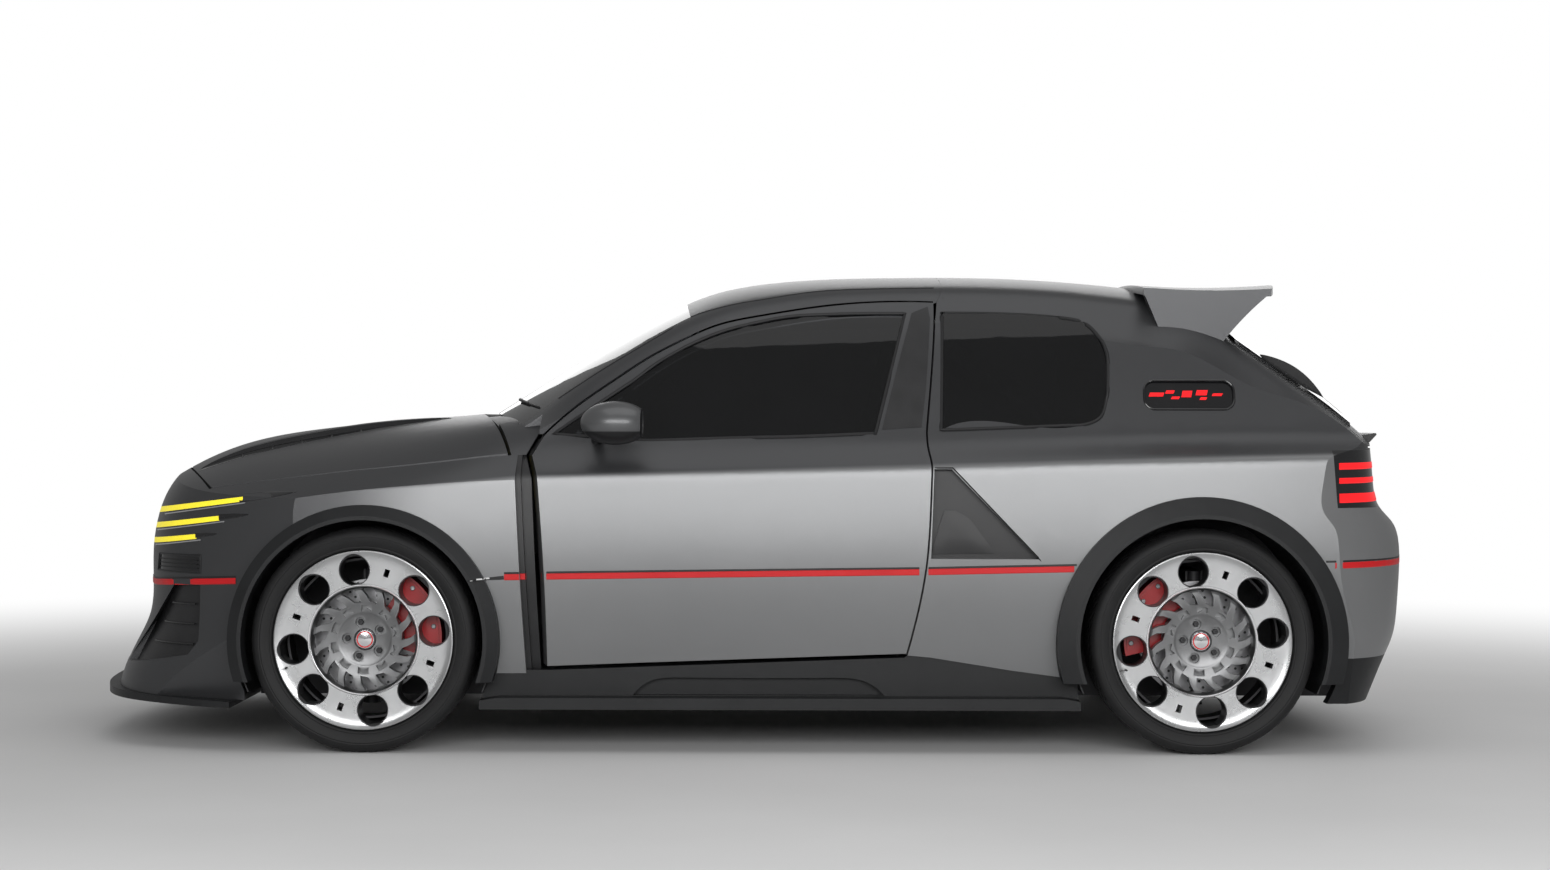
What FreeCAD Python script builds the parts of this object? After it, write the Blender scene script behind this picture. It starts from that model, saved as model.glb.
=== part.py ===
import FreeCAD, Part
import Sketcher
import math
import os
from FreeCAD import Vector

# Three door rally hatchback. X runs from nose (-) to tail (+), the car's left side is at -Y, Z is up.
# The origin is on the ground under the middle of the car. All lengths are millimetres.

SIZES = {
    # Stance
    "front_axle_x": -1163.0, "wheelbase": 2540.0, "track_width": 1585.0,
    "tyre_radius": 341.0, "tyre_width": 245.0, "seat_radius": 254.0, "seat_fit": 0.3,
    "tyre_shoulder": 30.0, "tyre_bead_width": 98.0,
    # Rims
    "rim_lip_radius": 272.0, "rim_lip_width": 9.0, "barrel_wall": 9.0, "rim_face_offset": 100.0,
    "rim_face_wall": 32.0, "ring_radius": 165.0, "dish_offset": 76.0, "dish_wall": 30.0,
    "hub_radius": 82.0, "hub_offset": 70.0, "bore_radius": 30.0, "window_count": 15.0,
    "window_outer": 156.0, "window_inner": 104.0, "round_hole_radius": 42.0,
    "round_hole_pitch": 205.0, "hole_pair_angle": 26.5, "slot_angle": 71.0,
    "lug_count": 5.0, "lug_pitch_radius": 54.0, "lug_hole_radius": 8.0,
    # Brakes and hubs
    "disc_radius": 178.0, "disc_wall": 26.0, "disc_offset": 8.0, "disc_hat_radius": 84.0,
    "shaft_radius": 24.0, "shaft_fit": 0.3, "shaft_depth": 96.0,
    "caliper_outer": 226.0, "caliper_inner": 112.0, "caliper_half_angle": 38.0,
    "caliper_clearance": 5.0, "caliper_wall": 18.0,
    # Steering and suspension
    "kingpin_offset": 60.0, "kingpin_radius": 17.0, "kingpin_reach": 176.0,
    "arm_height": 30.0, "arm_half_width": 26.0, "damper_radius": 32.0,
    # Body openings
    "front_arch_radius": 365.0, "rear_arch_radius": 374.0,
    "front_flare_radius": 410.0, "rear_flare_radius": 440.0,
    "flare_out": 930.0, "flare_edge_out": 911.0, "flare_root": 862.0, "flare_bottom": 216.0,
    "liner_radius": 388.0, "liner_wall": 4.0,
    # Panels
    "skin_wall": 25.0, "roof_wall": 30.0, "quarter_wall": 55.0, "glass_wall": 5.0,
    "glass_inset": 4.0, "rear_glass_rise": 14.0, "panel_gap": 6.0, "door_wall": 84.0, "door_frame_wall": 40.0,
    "door_lean": 0.25, "bonnet_wall": 20.0, "tailgate_wall": 32.0,
    # Floor and tub
    "floor_bottom": 133.0, "floor_wall": 22.0, "floor_half_width": 700.0, "tub_half_width": 470.0,
    "tub_wall": 12.0, "tub_front": -1560.0, "tub_top": 700.0, "firewall_x": -690.0,
    "firewall_top": 860.0, "bulkhead_x": 640.0, "bulkhead_top": 880.0, "rail_rear": 1880.0,
    # Steering wheel, seats, dashboard
    "steering_radius": 180.0, "steering_grip": 16.0,
}

DOC = FreeCAD.newDocument("RallyHatchback")
SHEET = DOC.addObject("Spreadsheet::Sheet", "Sizes")


def fill_sheet():
    """Write every size into the sheet, one cell with its own name for each."""
    for row, (name, value) in enumerate(SIZES.items(), start=1):
        SHEET.set(f"A{row}", name)
        SHEET.set(f"B{row}", str(value))
        SHEET.setAlias(f"B{row}", name)
    DOC.recompute()


fill_sheet()


def size(name):
    return float(SHEET.get(name))


FRONT_X = size("front_axle_x")
REAR_X = FRONT_X + size("wheelbase")
AXLE_Z = size("tyre_radius")
WHEEL_Y = size("track_width") / 2
GAP = size("panel_gap")
SKIN = size("skin_wall")
LEFT, RIGHT = -1, 1
SIDES = (("left", LEFT), ("right", RIGHT))


def curve_through(*points):
    """Smooth height curve through the points that never swings past them."""
    xs, ys = zip(*points)
    last = len(xs) - 1
    steps = [xs[i + 1] - xs[i] for i in range(last)]
    slopes = [(ys[i + 1] - ys[i]) / steps[i] for i in range(last)]
    tangents = [slopes[0]]
    for before, after, a, b in zip(slopes, slopes[1:], steps, steps[1:]):
        if before * after <= 0:
            tangents.append(0.0)
        else:
            tangents.append(3 * (a + b) / ((2 * b + a) / before + (b + 2 * a) / after))
    tangents.append(slopes[-1])

    def height(x):
        if x <= xs[0]:
            return ys[0] + tangents[0] * (x - xs[0])
        if x >= xs[-1]:
            return ys[-1] + tangents[-1] * (x - xs[-1])
        i = max(k for k in range(last) if xs[k] <= x)
        t = (x - xs[i]) / steps[i]
        rise = ys[i] * (1 + 2 * t) * (1 - t) ** 2 + ys[i + 1] * t * t * (3 - 2 * t)
        return rise + steps[i] * (tangents[i] * t * (1 - t) ** 2 - tangents[i + 1] * t * t * (1 - t))

    return height


def ease(x, start, end):
    t = min(1.0, max(0.0, (x - start) / (end - start)))
    return t * t * (3 - 2 * t)


def stations(start, end, count):
    return [start + (end - start) * i / (count - 1) for i in range(count)]


def both_ways(values):
    """Mirror a rising list that starts at zero, so that it runs from minus to plus."""
    return [-v for v in reversed(values[1:])] + list(values)


def net_face(rows):
    """Smooth cubic surface over a net of control points."""
    def knots(count):
        return [4] + [1] * (count - 4) + [4], list(range(count - 2))
    surface = Part.BSplineSurface()
    u_mults, u_knots = knots(len(rows))
    v_mults, v_knots = knots(len(rows[0]))
    surface.buildFromPolesMultsKnots(rows, u_mults, v_mults, u_knots, v_knots, False, False, 3, 3)
    return surface.toShape()


# Lines of the body, each a height or half width along the car
bonnet_z = curve_through((-2150, 600), (-1962, 745), (-1900, 810), (-1850, 850), (-1808, 876),
                         (-1740, 912), (-1647, 942), (-1516, 969), (-1381, 985), (-1242, 1001),
                         (-1105, 1013), (-975, 1020), (-865, 1030), (-500, 1062))
crease_z = curve_through((-2150, 690), (-1464, 762), (-1163, 800), (-705, 833), (0, 853),
                         (560, 869), (1100, 892), (1700, 908), (2150, 915))
crease_y = curve_through((-2150, 800), (-1950, 815), (-1750, 845), (-1500, 880), (-1163, 893),
                         (-900, 888), (-650, 870), (-300, 862), (150, 862), (600, 866),
                         (1000, 880), (1376, 898), (1650, 890), (1850, 875), (2150, 850))
bonnet_power = curve_through((-2150, 2.8), (-1600, 2.6), (-1163, 3.0), (-900, 4.2), (-690, 6.2),
                             (-500, 6.5))
roof_z = curve_through((-1000, 940), (-849, 1035), (-511, 1241), (-342, 1336), (-206, 1404),
                       (-101, 1443), (21, 1465), (142, 1477), (263, 1484), (383, 1487),
                       (620, 1490), (802, 1488), (979, 1480), (1217, 1460), (1336, 1445),
                       (1420, 1400), (1500, 1342), (1594, 1275), (1707, 1203), (1791, 1152),
                       (1861, 1096), (1911, 1050), (1960, 1000), (2120, 840))
rail_y = curve_through((-1000, 735), (-695, 700), (-468, 665), (-221, 620), (-55, 600),
                       (251, 560), (585, 535), (1000, 528), (1234, 530), (1380, 560),
                       (1511, 600), (1707, 690), (1911, 780), (2120, 860))
rail_drop = curve_through((-1000, 160), (-695, 146), (-594, 120), (-468, 108), (-221, 90),
                          (34, 81), (251, 67), (585, 63), (1000, 66), (1234, 74), (1511, 72),
                          (1707, 96), (1861, 116), (2120, 116))
flank_swell = curve_through((60, -95), (130, -68), (230, -42), (350, -16), (480, 6), (560, 14),
                            (640, 15), (720, 9), (850, 0), (1000, -12), (1600, -60))
cabin_flank = curve_through((955, 787), (1050, 752), (1200, 695), (1344, 625), (1386, 592),
                            (1480, 520), (1600, 420))
nose_x = curve_through((50, -2075), (140, -2060), (230, -2045), (404, -1947), (600, -1950),
                       (680, -1938), (740, -1922), (800, -1893), (850, -1850), (900, -1780),
                       (1000, -1600), (1300, -1000))
tail_x = curve_through((50, 1942), (150, 1982), (295, 2042), (355, 2070), (466, 2077),
                       (577, 2084), (677, 2076), (721, 2034), (765, 1990), (850, 1985),
                       (950, 1975), (1300, 1940))


def bonnet_top(x, share):
    """Height of bonnet and front wing at a share of the half width."""
    return bonnet_z(x) - (bonnet_z(x) - crease_z(x)) * share ** bonnet_power(x)


def flank_y(x, z):
    """Half width of the body side: straight above the crease in front, leaning in at the cabin."""
    front = crease_y(x) + flank_swell(z)
    crease = crease_z(x)
    if z <= crease:
        return front
    shoulder = crease_y(x) + flank_swell(crease)
    t = ease(z, crease, 955)
    cabin = cabin_flank(z) if z >= 955 else shoulder + (cabin_flank(955) - shoulder) * t ** 0.8
    lean = ease(x, -780, -640)
    return front * (1 - lean) + cabin * lean


def nose_at(y, z):
    return nose_x(z) + 45 * (y / 500) ** 2 + 160 * (abs(y) / 800) ** 8


def tail_at(y, z):
    lamp = ease(z, 700, 765)
    corner = (130 - 50 * lamp) * (abs(y) / 850) ** (10 + 6 * lamp)
    return tail_x(z) - 22 * (y / 500) ** 2 - corner


DEEP = 1500
SKIN_WIDTHS = (0, 180, 340, 480, 600, 700, 770, 820, 870, 920, 960)


def under_bonnet_skin(inset, depth=DEEP):
    """Everything under the bonnet and front wing surface, set in by a wall."""
    shares = (0, .14, .28, .41, .53, .65, .75, .83, .9, .96, 1.02, 1.08, 1.16)
    rows = []
    for x in stations(-2150, -500, 15):
        rows.append([Vector(x, s * crease_y(x), bonnet_top(x, abs(s)) - inset)
                     for s in both_ways(shares)])
    return net_face(rows).extrude(Vector(0, 0, -depth))


def roof_section(x):
    """Half section of windscreen, roof or tailgate at one station."""
    width, drop, top = rail_y(x), rail_drop(x), roof_z(x)
    spread = 0.3 + 0.7 * ease(x, -700, -450) * (1 - ease(x, 1550, 1850))
    half = [(s * width, top - drop * s ** 2.2) for s in (0, .25, .5, .72, .88, 1)]
    edge = top - drop
    half += [(width + 45, edge - 52 * spread), (width + 110, edge - 120 * spread),
             (width + 190, edge - 180 * spread), (1010, edge - 240 * spread)]
    return half


def under_roof_skin(inset, depth=DEEP):
    rows = []
    for x in stations(-1000, 2120, 29):
        half = [Vector(x, y, z - inset) for y, z in roof_section(x)]
        rows.append([Vector(x, -p.y, p.z) for p in reversed(half[1:])] + half)
    return net_face(rows).extrude(Vector(0, 0, -depth))


def inside_flank(side, inset, depth=2200):
    """Everything inboard of one body side, set in by a wall."""
    rows = []
    for x in stations(-2200, 2150, 24):
        crease = crease_z(x)
        levels = [60, 130, 220, 310, 400, 480]
        levels += [480 + (crease - 510) * q for q in (.3, .65, 1)] + [crease]
        levels += [crease + 24 + (1576 - crease) * q
                   for q in (0, .05, .11, .18, .28, .4, .52, .64, .72, .8, .9, 1)]
        rows.append([Vector(x, side * (flank_y(x, z) - inset), z) for z in levels])
    return net_face(rows).extrude(Vector(0, -side * depth, 0))


def behind_nose(inset, depth=DEEP):
    levels = (50, 120, 200, 300, 400, 500, 600, 660, 710, 760, 810, 850, 900, 1000, 1150)
    rows = [[Vector(nose_at(y, z) + inset, y, z) for z in levels] for y in both_ways(SKIN_WIDTHS)]
    return net_face(rows).extrude(Vector(depth, 0, 0))


def ahead_of_tail(inset, depth=DEEP):
    levels = (50, 150, 240, 300, 355, 466, 577, 640, 690, 721, 765, 850, 950, 1150, 1400, 1650)
    rows = [[Vector(tail_at(y, z) - inset, y, z) for z in levels] for y in both_ways(SKIN_WIDTHS)]
    return net_face(rows).extrude(Vector(-depth, 0, 0))


def path(*runs):
    """Closed outline: each run is a list of points, a curve when it has more than two."""
    edges = []
    for run in runs:
        points = [Vector(*p) for p in run]
        if len(points) == 2:
            edges.append(Part.makeLine(*points))
        else:
            curve = Part.BSplineCurve()
            curve.interpolate(points)
            edges.append(curve.toShape())
    return Part.Wire(Part.__sortEdges__(edges))


def side_outline(*runs):
    """Outline in the side view from runs of (x, z) points."""
    return path(*[[(x, 0, z) for x, z in run] for run in runs])


def plan_outline(*runs):
    """Outline in the plan view from runs of (x, y) points."""
    return path(*[[(x, y, 0) for x, y in run] for run in runs])


def polygon(points):
    closed = list(points) + [points[0]]
    return [list(pair) for pair in zip(closed, closed[1:])]


def between(wire, near, far):
    """Prism of a side view outline from |y| = near to |y| = far, on the far value's side."""
    face = Part.Face(wire)
    face.translate(Vector(0, near, 0))
    return face.extrude(Vector(0, far - near, 0))


def upright(wire, low, high):
    """Prism of a plan outline between two heights."""
    face = Part.Face(wire)
    face.translate(Vector(0, 0, low))
    return face.extrude(Vector(0, 0, high - low))


def region(x0, x1, y0, y1, z0, z1):
    return Part.makeBox(x1 - x0, y1 - y0, z1 - z0, Vector(x0, y0, z0))


def drum(x, z, radius, y0, y1):
    """Cylinder across the car around an axle."""
    return Part.makeCylinder(radius, abs(y1 - y0), Vector(x, min(y0, y1), z), Vector(0, 1, 0))


def mirrored(shape):
    return shape.mirror(Vector(0, 0, 0), Vector(0, 1, 0))


def meet(first, *others):
    for other in others:
        first = first.common(other)
    return first


def pieces(*shapes):
    """One shape from solids that do not touch."""
    solids = []
    for shape in shapes:
        solids += shape.Solids
    return solids[0] if len(solids) == 1 else Part.makeCompound(solids)


def largest(shape):
    return max(shape.Solids, key=lambda solid: solid.Volume)


NODES = []


def add(label, shape):
    """Finished sub-part whose shape is made here."""
    item = DOC.addObject("Part::Feature", label)
    item.Shape = shape
    item.Placement = FreeCAD.Placement()
    item.Label = label
    NODES.append(item)
    return item


def front_block(inset):
    """Closed body ahead of the cabin, set in by a wall on every side."""
    return meet(under_bonnet_skin(inset), inside_flank(LEFT, inset), inside_flank(RIGHT, inset),
                behind_nose(inset))


def cabin_block(roof_inset, side_inset):
    """Closed cabin and tail, without the rear face."""
    hull = region(-960, 2110, -1000, 1000, 100, 1600)
    return meet(hull, under_roof_skin(roof_inset), inside_flank(LEFT, side_inset),
                inside_flank(RIGHT, side_inset))


def flank_wall(side, inset, wall):
    """Plate that follows one body side."""
    return inside_flank(side, inset, wall)


def roof_plate(inset, wall):
    return under_roof_skin(inset, wall)


def bonnet_plate(inset, wall):
    return under_bonnet_skin(inset, wall)


# Outlines seen from the side, as (x, z)
DOOR_FRONT = [(-617, 252), (-646, 831)]
DOOR_FRONT_TOP = [(-646, 831), (-668, 902)]
DOOR_SHOULDER = [(-668, 902), (-632, 966)]
DOOR_TOP = [(-632, 966), (-521, 1062), (-411, 1139), (-310, 1207), (-208, 1262), (-105, 1308),
            (34, 1340), (250, 1374), (584, 1386)]
DOOR_BACK_TOP = [(584, 1386), (551, 976)]
DOOR_BACK = [(551, 976), (563, 878), (547, 574), (525, 445), (488, 293)]
DOOR_SILL = [(488, 293), (-617, 252)]
DOOR_RUNS = (DOOR_FRONT, DOOR_FRONT_TOP, DOOR_SHOULDER, DOOR_TOP, DOOR_BACK_TOP, DOOR_BACK,
             DOOR_SILL)
DOOR_GLASS = ([(-598, 966), (-479, 1049), (-371, 1122), (-278, 1191), (-181, 1246), (-78, 1289),
               (35, 1318), (138, 1336), (250, 1342), (490, 1345)],
              [(490, 1345), (388, 968)],
              [(388, 968), (26, 957), (-314, 945), (-598, 966)])
QUARTER_GLASS = ([(603, 1347), (802, 1345), (968, 1334), (1045, 1318), (1092, 1270), (1114, 1194),
                  (1106, 1083), (1086, 1025), (1036, 999), (895, 990), (592, 979)],
                 [(592, 979), (603, 1347)])


def leaned(runs, side, shrink, near=430, far=1000):
    """Door sized prism: its ends lean back outwards, so that the door swings clear."""
    lean = size("door_lean")
    wire = side_outline(*[[(x - lean * flank_y(x, z), z) for x, z in run] for run in runs])
    if shrink:
        wire = Part.Wire(Part.sortEdges(wire.makeOffset2D(-shrink).toNurbs().Edges)[0])
    face = Part.Face(wire)
    face.translate(Vector(lean * near, side * near, 0))
    return face.extrude(Vector(lean * (far - near), side * (far - near), 0))


def windscreen_outline(margin):
    """Plan outline of the windscreen, grown outwards by a margin."""
    base = [(-842 - margin + 140 * (y / 665) ** 2, y) for y in (-665, -450, -200, 0, 200, 450, 665)]
    header = [(-212 + margin + 30 * (y / 596) ** 2, y) for y in (596, 300, 0, -300, -596)]
    sides = [(x, rail_y(x) - 28 + margin) for x in (-702, -600, -468, -340, -221)]
    sides[0] = (base[-1][0], base[-1][1] + margin)
    sides[-1] = (header[0][0], header[0][1] + margin)
    base[0], base[-1] = (base[0][0], -sides[0][1]), (base[-1][0], sides[0][1])
    header[0], header[-1] = (header[0][0], sides[-1][1]), (header[-1][0], -sides[-1][1])
    return plan_outline(base, sides, header, [(x, -y) for x, y in reversed(sides)])


BONNET_CORNER_FRONT = (-1655, 752)
BONNET_CORNER_REAR = (-736, 809)


def bonnet_outline(margin):
    front_x, front_y = BONNET_CORNER_FRONT
    back_x, back_y = BONNET_CORNER_REAR
    nose = [(-1835 - margin + 180 * (y / 752) ** 2.4, y) for y in (0, 250, 500, 652)]
    nose = [(x, -y) for x, y in reversed(nose[1:])] + nose
    nose = [(front_x - margin, -front_y - margin)] + nose + [(front_x - margin, front_y + margin)]
    rear = [(-888 + 2 * margin + (back_x + 888) * (y / back_y) ** 2, y)
            for y in (0, 300, 600, back_y)]
    rear = [(x, -y) for x, y in reversed(rear[1:])] + rear
    rear[0] = (rear[0][0], -back_y - margin)
    rear[-1] = (rear[-1][0], back_y + margin)
    flank = [nose[-1], (-1163, 797 + margin), (-900, 808 + margin), rear[-1]]
    return plan_outline(nose, flank, rear, [(x, -y) for x, y in flank])


LAMP_BARS = (((-1890, 716), (-1538, 766), 18), ((-1930, 664), (-1605, 708), 18),
             ((-1935, 618), (-1685, 650), 18))


def lamp_bar(start, end, height, grow=0):
    """Slanted strip in the side view, seen as one light bar of a headlamp."""
    x0, z0 = start
    x1, z1 = end
    half = height / 2 + grow
    points = [(x0 - 60, z0 - half - 4), (x1 - 12 + grow, z1 - half), (x1 + 16 + grow, z1 + half),
              (x0 - 60, z0 + half - 4)]
    return side_outline(*polygon(points))


SIDE_INTAKE = [(-1775, 500), (-1680, 500), (-1682, 330), (-1715, 288), (-1860, 262), (-1965, 245)]


def make_front_panels():
    outer, inner = front_block(0), front_block(SKIN)
    shell = outer.cut(inner)
    arch = drum(FRONT_X, AXLE_Z, size("front_flare_radius"), -1000, 1000)
    shell = shell.cut(arch).cut(upright(bonnet_outline(GAP), 700, 1200))
    split_x, fender_back = -1540, -640
    under = [(-2150, 100), (-2150, 182.3), (-2040, 172.3), (-1500, 147.3), (-1500, 100)]
    bumper = meet(shell, region(-2150, split_x, -1000, 1000, 100, 860))
    bumper = bumper.cut(between(side_outline(*polygon(under)), -1000, 1000))
    mouth = region(-2200, -1900, -520, 520, 245, 470)
    mouth = mouth.fuse(region(-2200, -1880, -330, 330, 590, 640))
    bumper = bumper.cut(mouth)
    intake = side_outline(*polygon(SIDE_INTAKE))
    lamps = []
    for side in (LEFT, RIGHT):
        bumper = bumper.cut(between(intake, side * 560, side * 1000))
        for start, end, height in LAMP_BARS:
            wire = lamp_bar(start, end, height)
            bar = between(wire, side * 400, side * 1000)
            bar = bar.common(region(-2150, split_x - 0.3, -1000, 1000, 500, 900))
            lamps.append(bar)
            bumper = bumper.cut(bar)
    lens_layer = shell.cut(front_block(12))
    add("front_bumper", bumper)
    add("headlamps", pieces(*[largest(meet(lens_layer, bar)) for bar in lamps]))
    backing = outer.common(region(-2150, -1570, -1000, 1000, 160, 760)).cut(front_block(SKIN + 12))
    backing = backing.common(inner)
    grille = [backing.common(region(-2200, -1700, -545, 545, 225, 490)),
              backing.common(region(-2200, -1700, -350, 350, 575, 655))]
    grown = side_outline(*polygon(SIDE_INTAKE)).makeOffset2D(14)
    for side in (LEFT, RIGHT):
        grille.append(backing.common(between(grown, side * 550, side * 1000)))
    add("front_grille", pieces(*grille))

    rear_edge = side_outline([(-1540, 100), (-1540, 1200)], [(-1540, 1200), (-620, 1200)],
                             [(-620, 1200), (-620, 986)], [(-620, 986), (-648, 966)],
                             [(-648, 966), (-679, 902)], [(-679, 902), (-704, 902)],
                             [(-704, 902), (-708, 831)], [(-708, 831), (-676, 236)],
                             [(-676, 236), (-676, 100)], [(-676, 100), (-1540, 100)])
    fenders = []
    for side in (LEFT, RIGHT):
        zone = between(rear_edge, side * 640, side * 1000)
        wing = shell.common(zone).cut(region(-1541, -600, -1000, 1000, 100, 236))
        wing = wing.cut(region(-720, -600, -672, 672, 960, 1100))
        fenders.append(largest(wing))
    add("front_fenders", pieces(*fenders))
    add("bonnet", meet(bonnet_plate(0, size("bonnet_wall")), upright(bonnet_outline(0), 600, 1200)))
    return outer, inner


def make_doors():
    for name, side in SIDES:
        prism = leaned(DOOR_RUNS, side, GAP)
        belt = 950
        behind_frame = meet(region(-900, 900, -1000, 1000, belt, 1500),
                            inside_flank(side, size("door_frame_wall")))
        pane = between(side_outline(*DOOR_GLASS), side * 430, side * 1000)
        door = meet(region(-900, 900, -1000, 1000, 200, 1500), flank_wall(side, 0, size("door_wall")), prism)
        add(f"door_{name}", largest(door.cut(behind_frame).cut(pane)))
        glass = meet(flank_wall(side, size("glass_inset"), size("glass_wall")), pane)
        add(f"door_glass_{name}", largest(glass))


ROOF_ZONE = [(-960, 940), (-632, 966), (589, 1381.5), (610.7, 1430), (610.7, 1600), (-960, 1600)]
SKIRT_TOP_REAR = [(488, 293), (557, 287), (801, 248), (996, 222), (1100, 216)]
REAR_ZONE = [(611, 1600), (611, 1430), (590, 1382), (540, 976), (540, 574), (470, 294)]
BUMPER_LINE_X, BUMPER_LINE_Z, DIFFUSER_Z = 1765, 743, 288
SIDE_VENT = [(566, 862), (620, 862), (884, 590), (556, 590)]
TAIL_LAMP = [(1776, 922), (1790, 747), (2200, 747), (2200, 926)]
TAIL_LAMP_Y = 560
TAILGATE_TOP_X, TAILGATE_SPLIT_Z, TAILGATE_BOTTOM_Z = 1500, 934, 764
C_LAMP_CENTRE, C_LAMP_HALF_LENGTH, C_LAMP_HALF_HEIGHT = (1360, 1091), 136, 42


def slot_outline(centre, half_length, half_height, corner):
    """Side view outline of a rounded slot."""
    x, z = centre
    a, b = half_length, half_height
    c = a - corner
    d = b - corner
    corners = ((c, d, 0), (-c, d, 90), (-c, -d, 180), (c, -d, 270))
    edges = []
    for (cx, cz, start), (nx, nz, _) in zip(corners, corners[1:] + corners[:1]):
        arc = Part.makeCircle(corner, Vector(x + cx, 0, z + cz), Vector(0, -1, 0), start, start + 90)
        edges.append(arc)
        after = math.radians(start + 90)
        reach = Vector(corner * math.cos(after), 0, corner * math.sin(after))
        edges.append(Part.makeLine(Vector(x + cx, 0, z + cz) + reach,
                                   Vector(x + nx, 0, z + nz) + reach))
    return Part.Wire(Part.__sortEdges__(edges))


def tailgate_zone(margin):
    """Space of the tailgate: the sloping upper part and the plate between the tail lamps."""
    marks = (TAILGATE_TOP_X - margin, 1560, 1630, 1707, 1800, 1900)
    side = [(x, rail_y(x) - 14 + margin) for x in marks]
    end = (2160, side[-1][1])
    other = [(x, -y) for x, y in reversed(side)]
    plan = plan_outline(side, [side[-1], end], [end, (2160, -end[1])],
                        [(2160, -end[1]), other[0]], other, [other[-1], side[0]])
    upper = upright(plan, TAILGATE_SPLIT_Z - margin, 1560)
    plate = region(1800, 2160, -TAIL_LAMP_Y + 8 - margin, TAIL_LAMP_Y - 8 + margin,
                   TAILGATE_BOTTOM_Z - margin, TAILGATE_SPLIT_Z + 5)
    return upper.fuse(plate)


def tailgate_window():
    marks = (1536, 1600, 1707, 1800, 1866)
    side = [(x, rail_y(x) - 62) for x in marks]
    other = [(x, -y) for x, y in reversed(side)]
    return upright(plan_outline(side, [side[-1], other[0]], other, [other[-1], side[0]]), 900, 1500)


def make_cabin_panels(front_outer):
    outer, inner = cabin_block(0, 0), cabin_block(size("roof_wall"), size("quarter_wall"))
    doors = [leaned(DOOR_RUNS, side, 0) for side in (LEFT, RIGHT)]
    tail, tail_inner = ahead_of_tail(0), ahead_of_tail(size("tailgate_wall"))

    roof = outer.common(between(side_outline(*polygon(ROOF_ZONE)), -1000, 1000)).cut(inner)
    for door in doors:
        roof = roof.cut(door)
    screen = upright(windscreen_outline(0), 900, 1560)
    base = upright(windscreen_outline(34), 900, 1560).fuse(region(-640, 611, -1000, 1000, 900, 1600))
    roof = largest(roof.common(base).cut(front_outer.common(region(-1200, -636, -1000, 1000, 0, 1200))))
    add("roof_frame", largest(roof.cut(screen)))
    glass = roof_plate(size("glass_inset"), size("glass_wall"))
    pane = largest(glass.common(screen))
    add("windscreen", pane)
    cowl = meet(bonnet_plate(12, 10), region(-900, -648, -640, 640, 900, 1100))
    add("cowl", largest(cowl.cut(upright(bonnet_outline(GAP), 700, 1200)).cut(pane)))

    zone = REAR_ZONE + SKIRT_TOP_REAR + [(1720, 216), (1720, 146), (2200, 146), (2200, 1600)]
    block = outer.common(tail).common(between(side_outline(*polygon(zone)), -1000, 1000))
    shell = block.cut(inner.common(tail_inner))
    shell = shell.cut(drum(REAR_X, AXLE_Z, size("rear_flare_radius"), -1000, 1000))
    for door in doors:
        shell = shell.cut(door)
    bumper_zone = region(BUMPER_LINE_X - 30, 2200, -1000, 1000, DIFFUSER_Z, BUMPER_LINE_Z)
    add("rear_bumper", largest(shell.common(bumper_zone)))
    diffuser_zone = region(BUMPER_LINE_X - 30, 2200, -1000, 1000, 100, DIFFUSER_Z)
    diffuser = shell.common(diffuser_zone)
    for y in (-120, 120):
        diffuser = diffuser.cut(Part.makeCylinder(44, 300, Vector(1900, y, 240), Vector(1, 0, 0)))
    add("rear_diffuser", largest(diffuser))
    body = shell.cut(region(BUMPER_LINE_X - 30, 2200, -1000, 1000, 100, BUMPER_LINE_Z))
    lamp_wire = side_outline(*polygon(TAIL_LAMP))
    slot = slot_outline(C_LAMP_CENTRE, C_LAMP_HALF_LENGTH, C_LAMP_HALF_HEIGHT, 30)
    vent = side_outline(*polygon(SIDE_VENT))
    quarter = side_outline(*QUARTER_GLASS)
    lamps, vents, panes = [], [], []
    for side in (LEFT, RIGHT):
        lamp = between(lamp_wire, side * TAIL_LAMP_Y, side * 1000)
        lamps.append(largest(body.common(lamp)))
        opening = between(slot, side * 500, side * 1000)
        lamps.append(largest(flank_wall(side, 8, 20).common(opening)))
        recess = between(vent, side * 600, side * 1000).common(flank_wall(side, -20, 60))
        vents.append(largest(flank_wall(side, 28, 12).common(recess)))
        window = between(quarter, side * 430, side * 1000)
        panes.append(largest(flank_wall(side, size("glass_inset"), size("glass_wall")).common(window)))
        body = body.cut(lamp).cut(opening).cut(recess).cut(window)
    add("tail_lamps", pieces(*lamps))
    add("quarter_glass", pieces(*panes))
    gate = shell.common(tailgate_zone(0))
    window = tailgate_window()
    add("tailgate", largest(gate.cut(window)))
    rise = size("rear_glass_rise")
    add("tailgate_glass", largest(roof_plate(-rise, rise + 9).common(window)))
    add("rear_body", largest(body.cut(tailgate_zone(GAP))))
    return outer, vents


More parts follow.
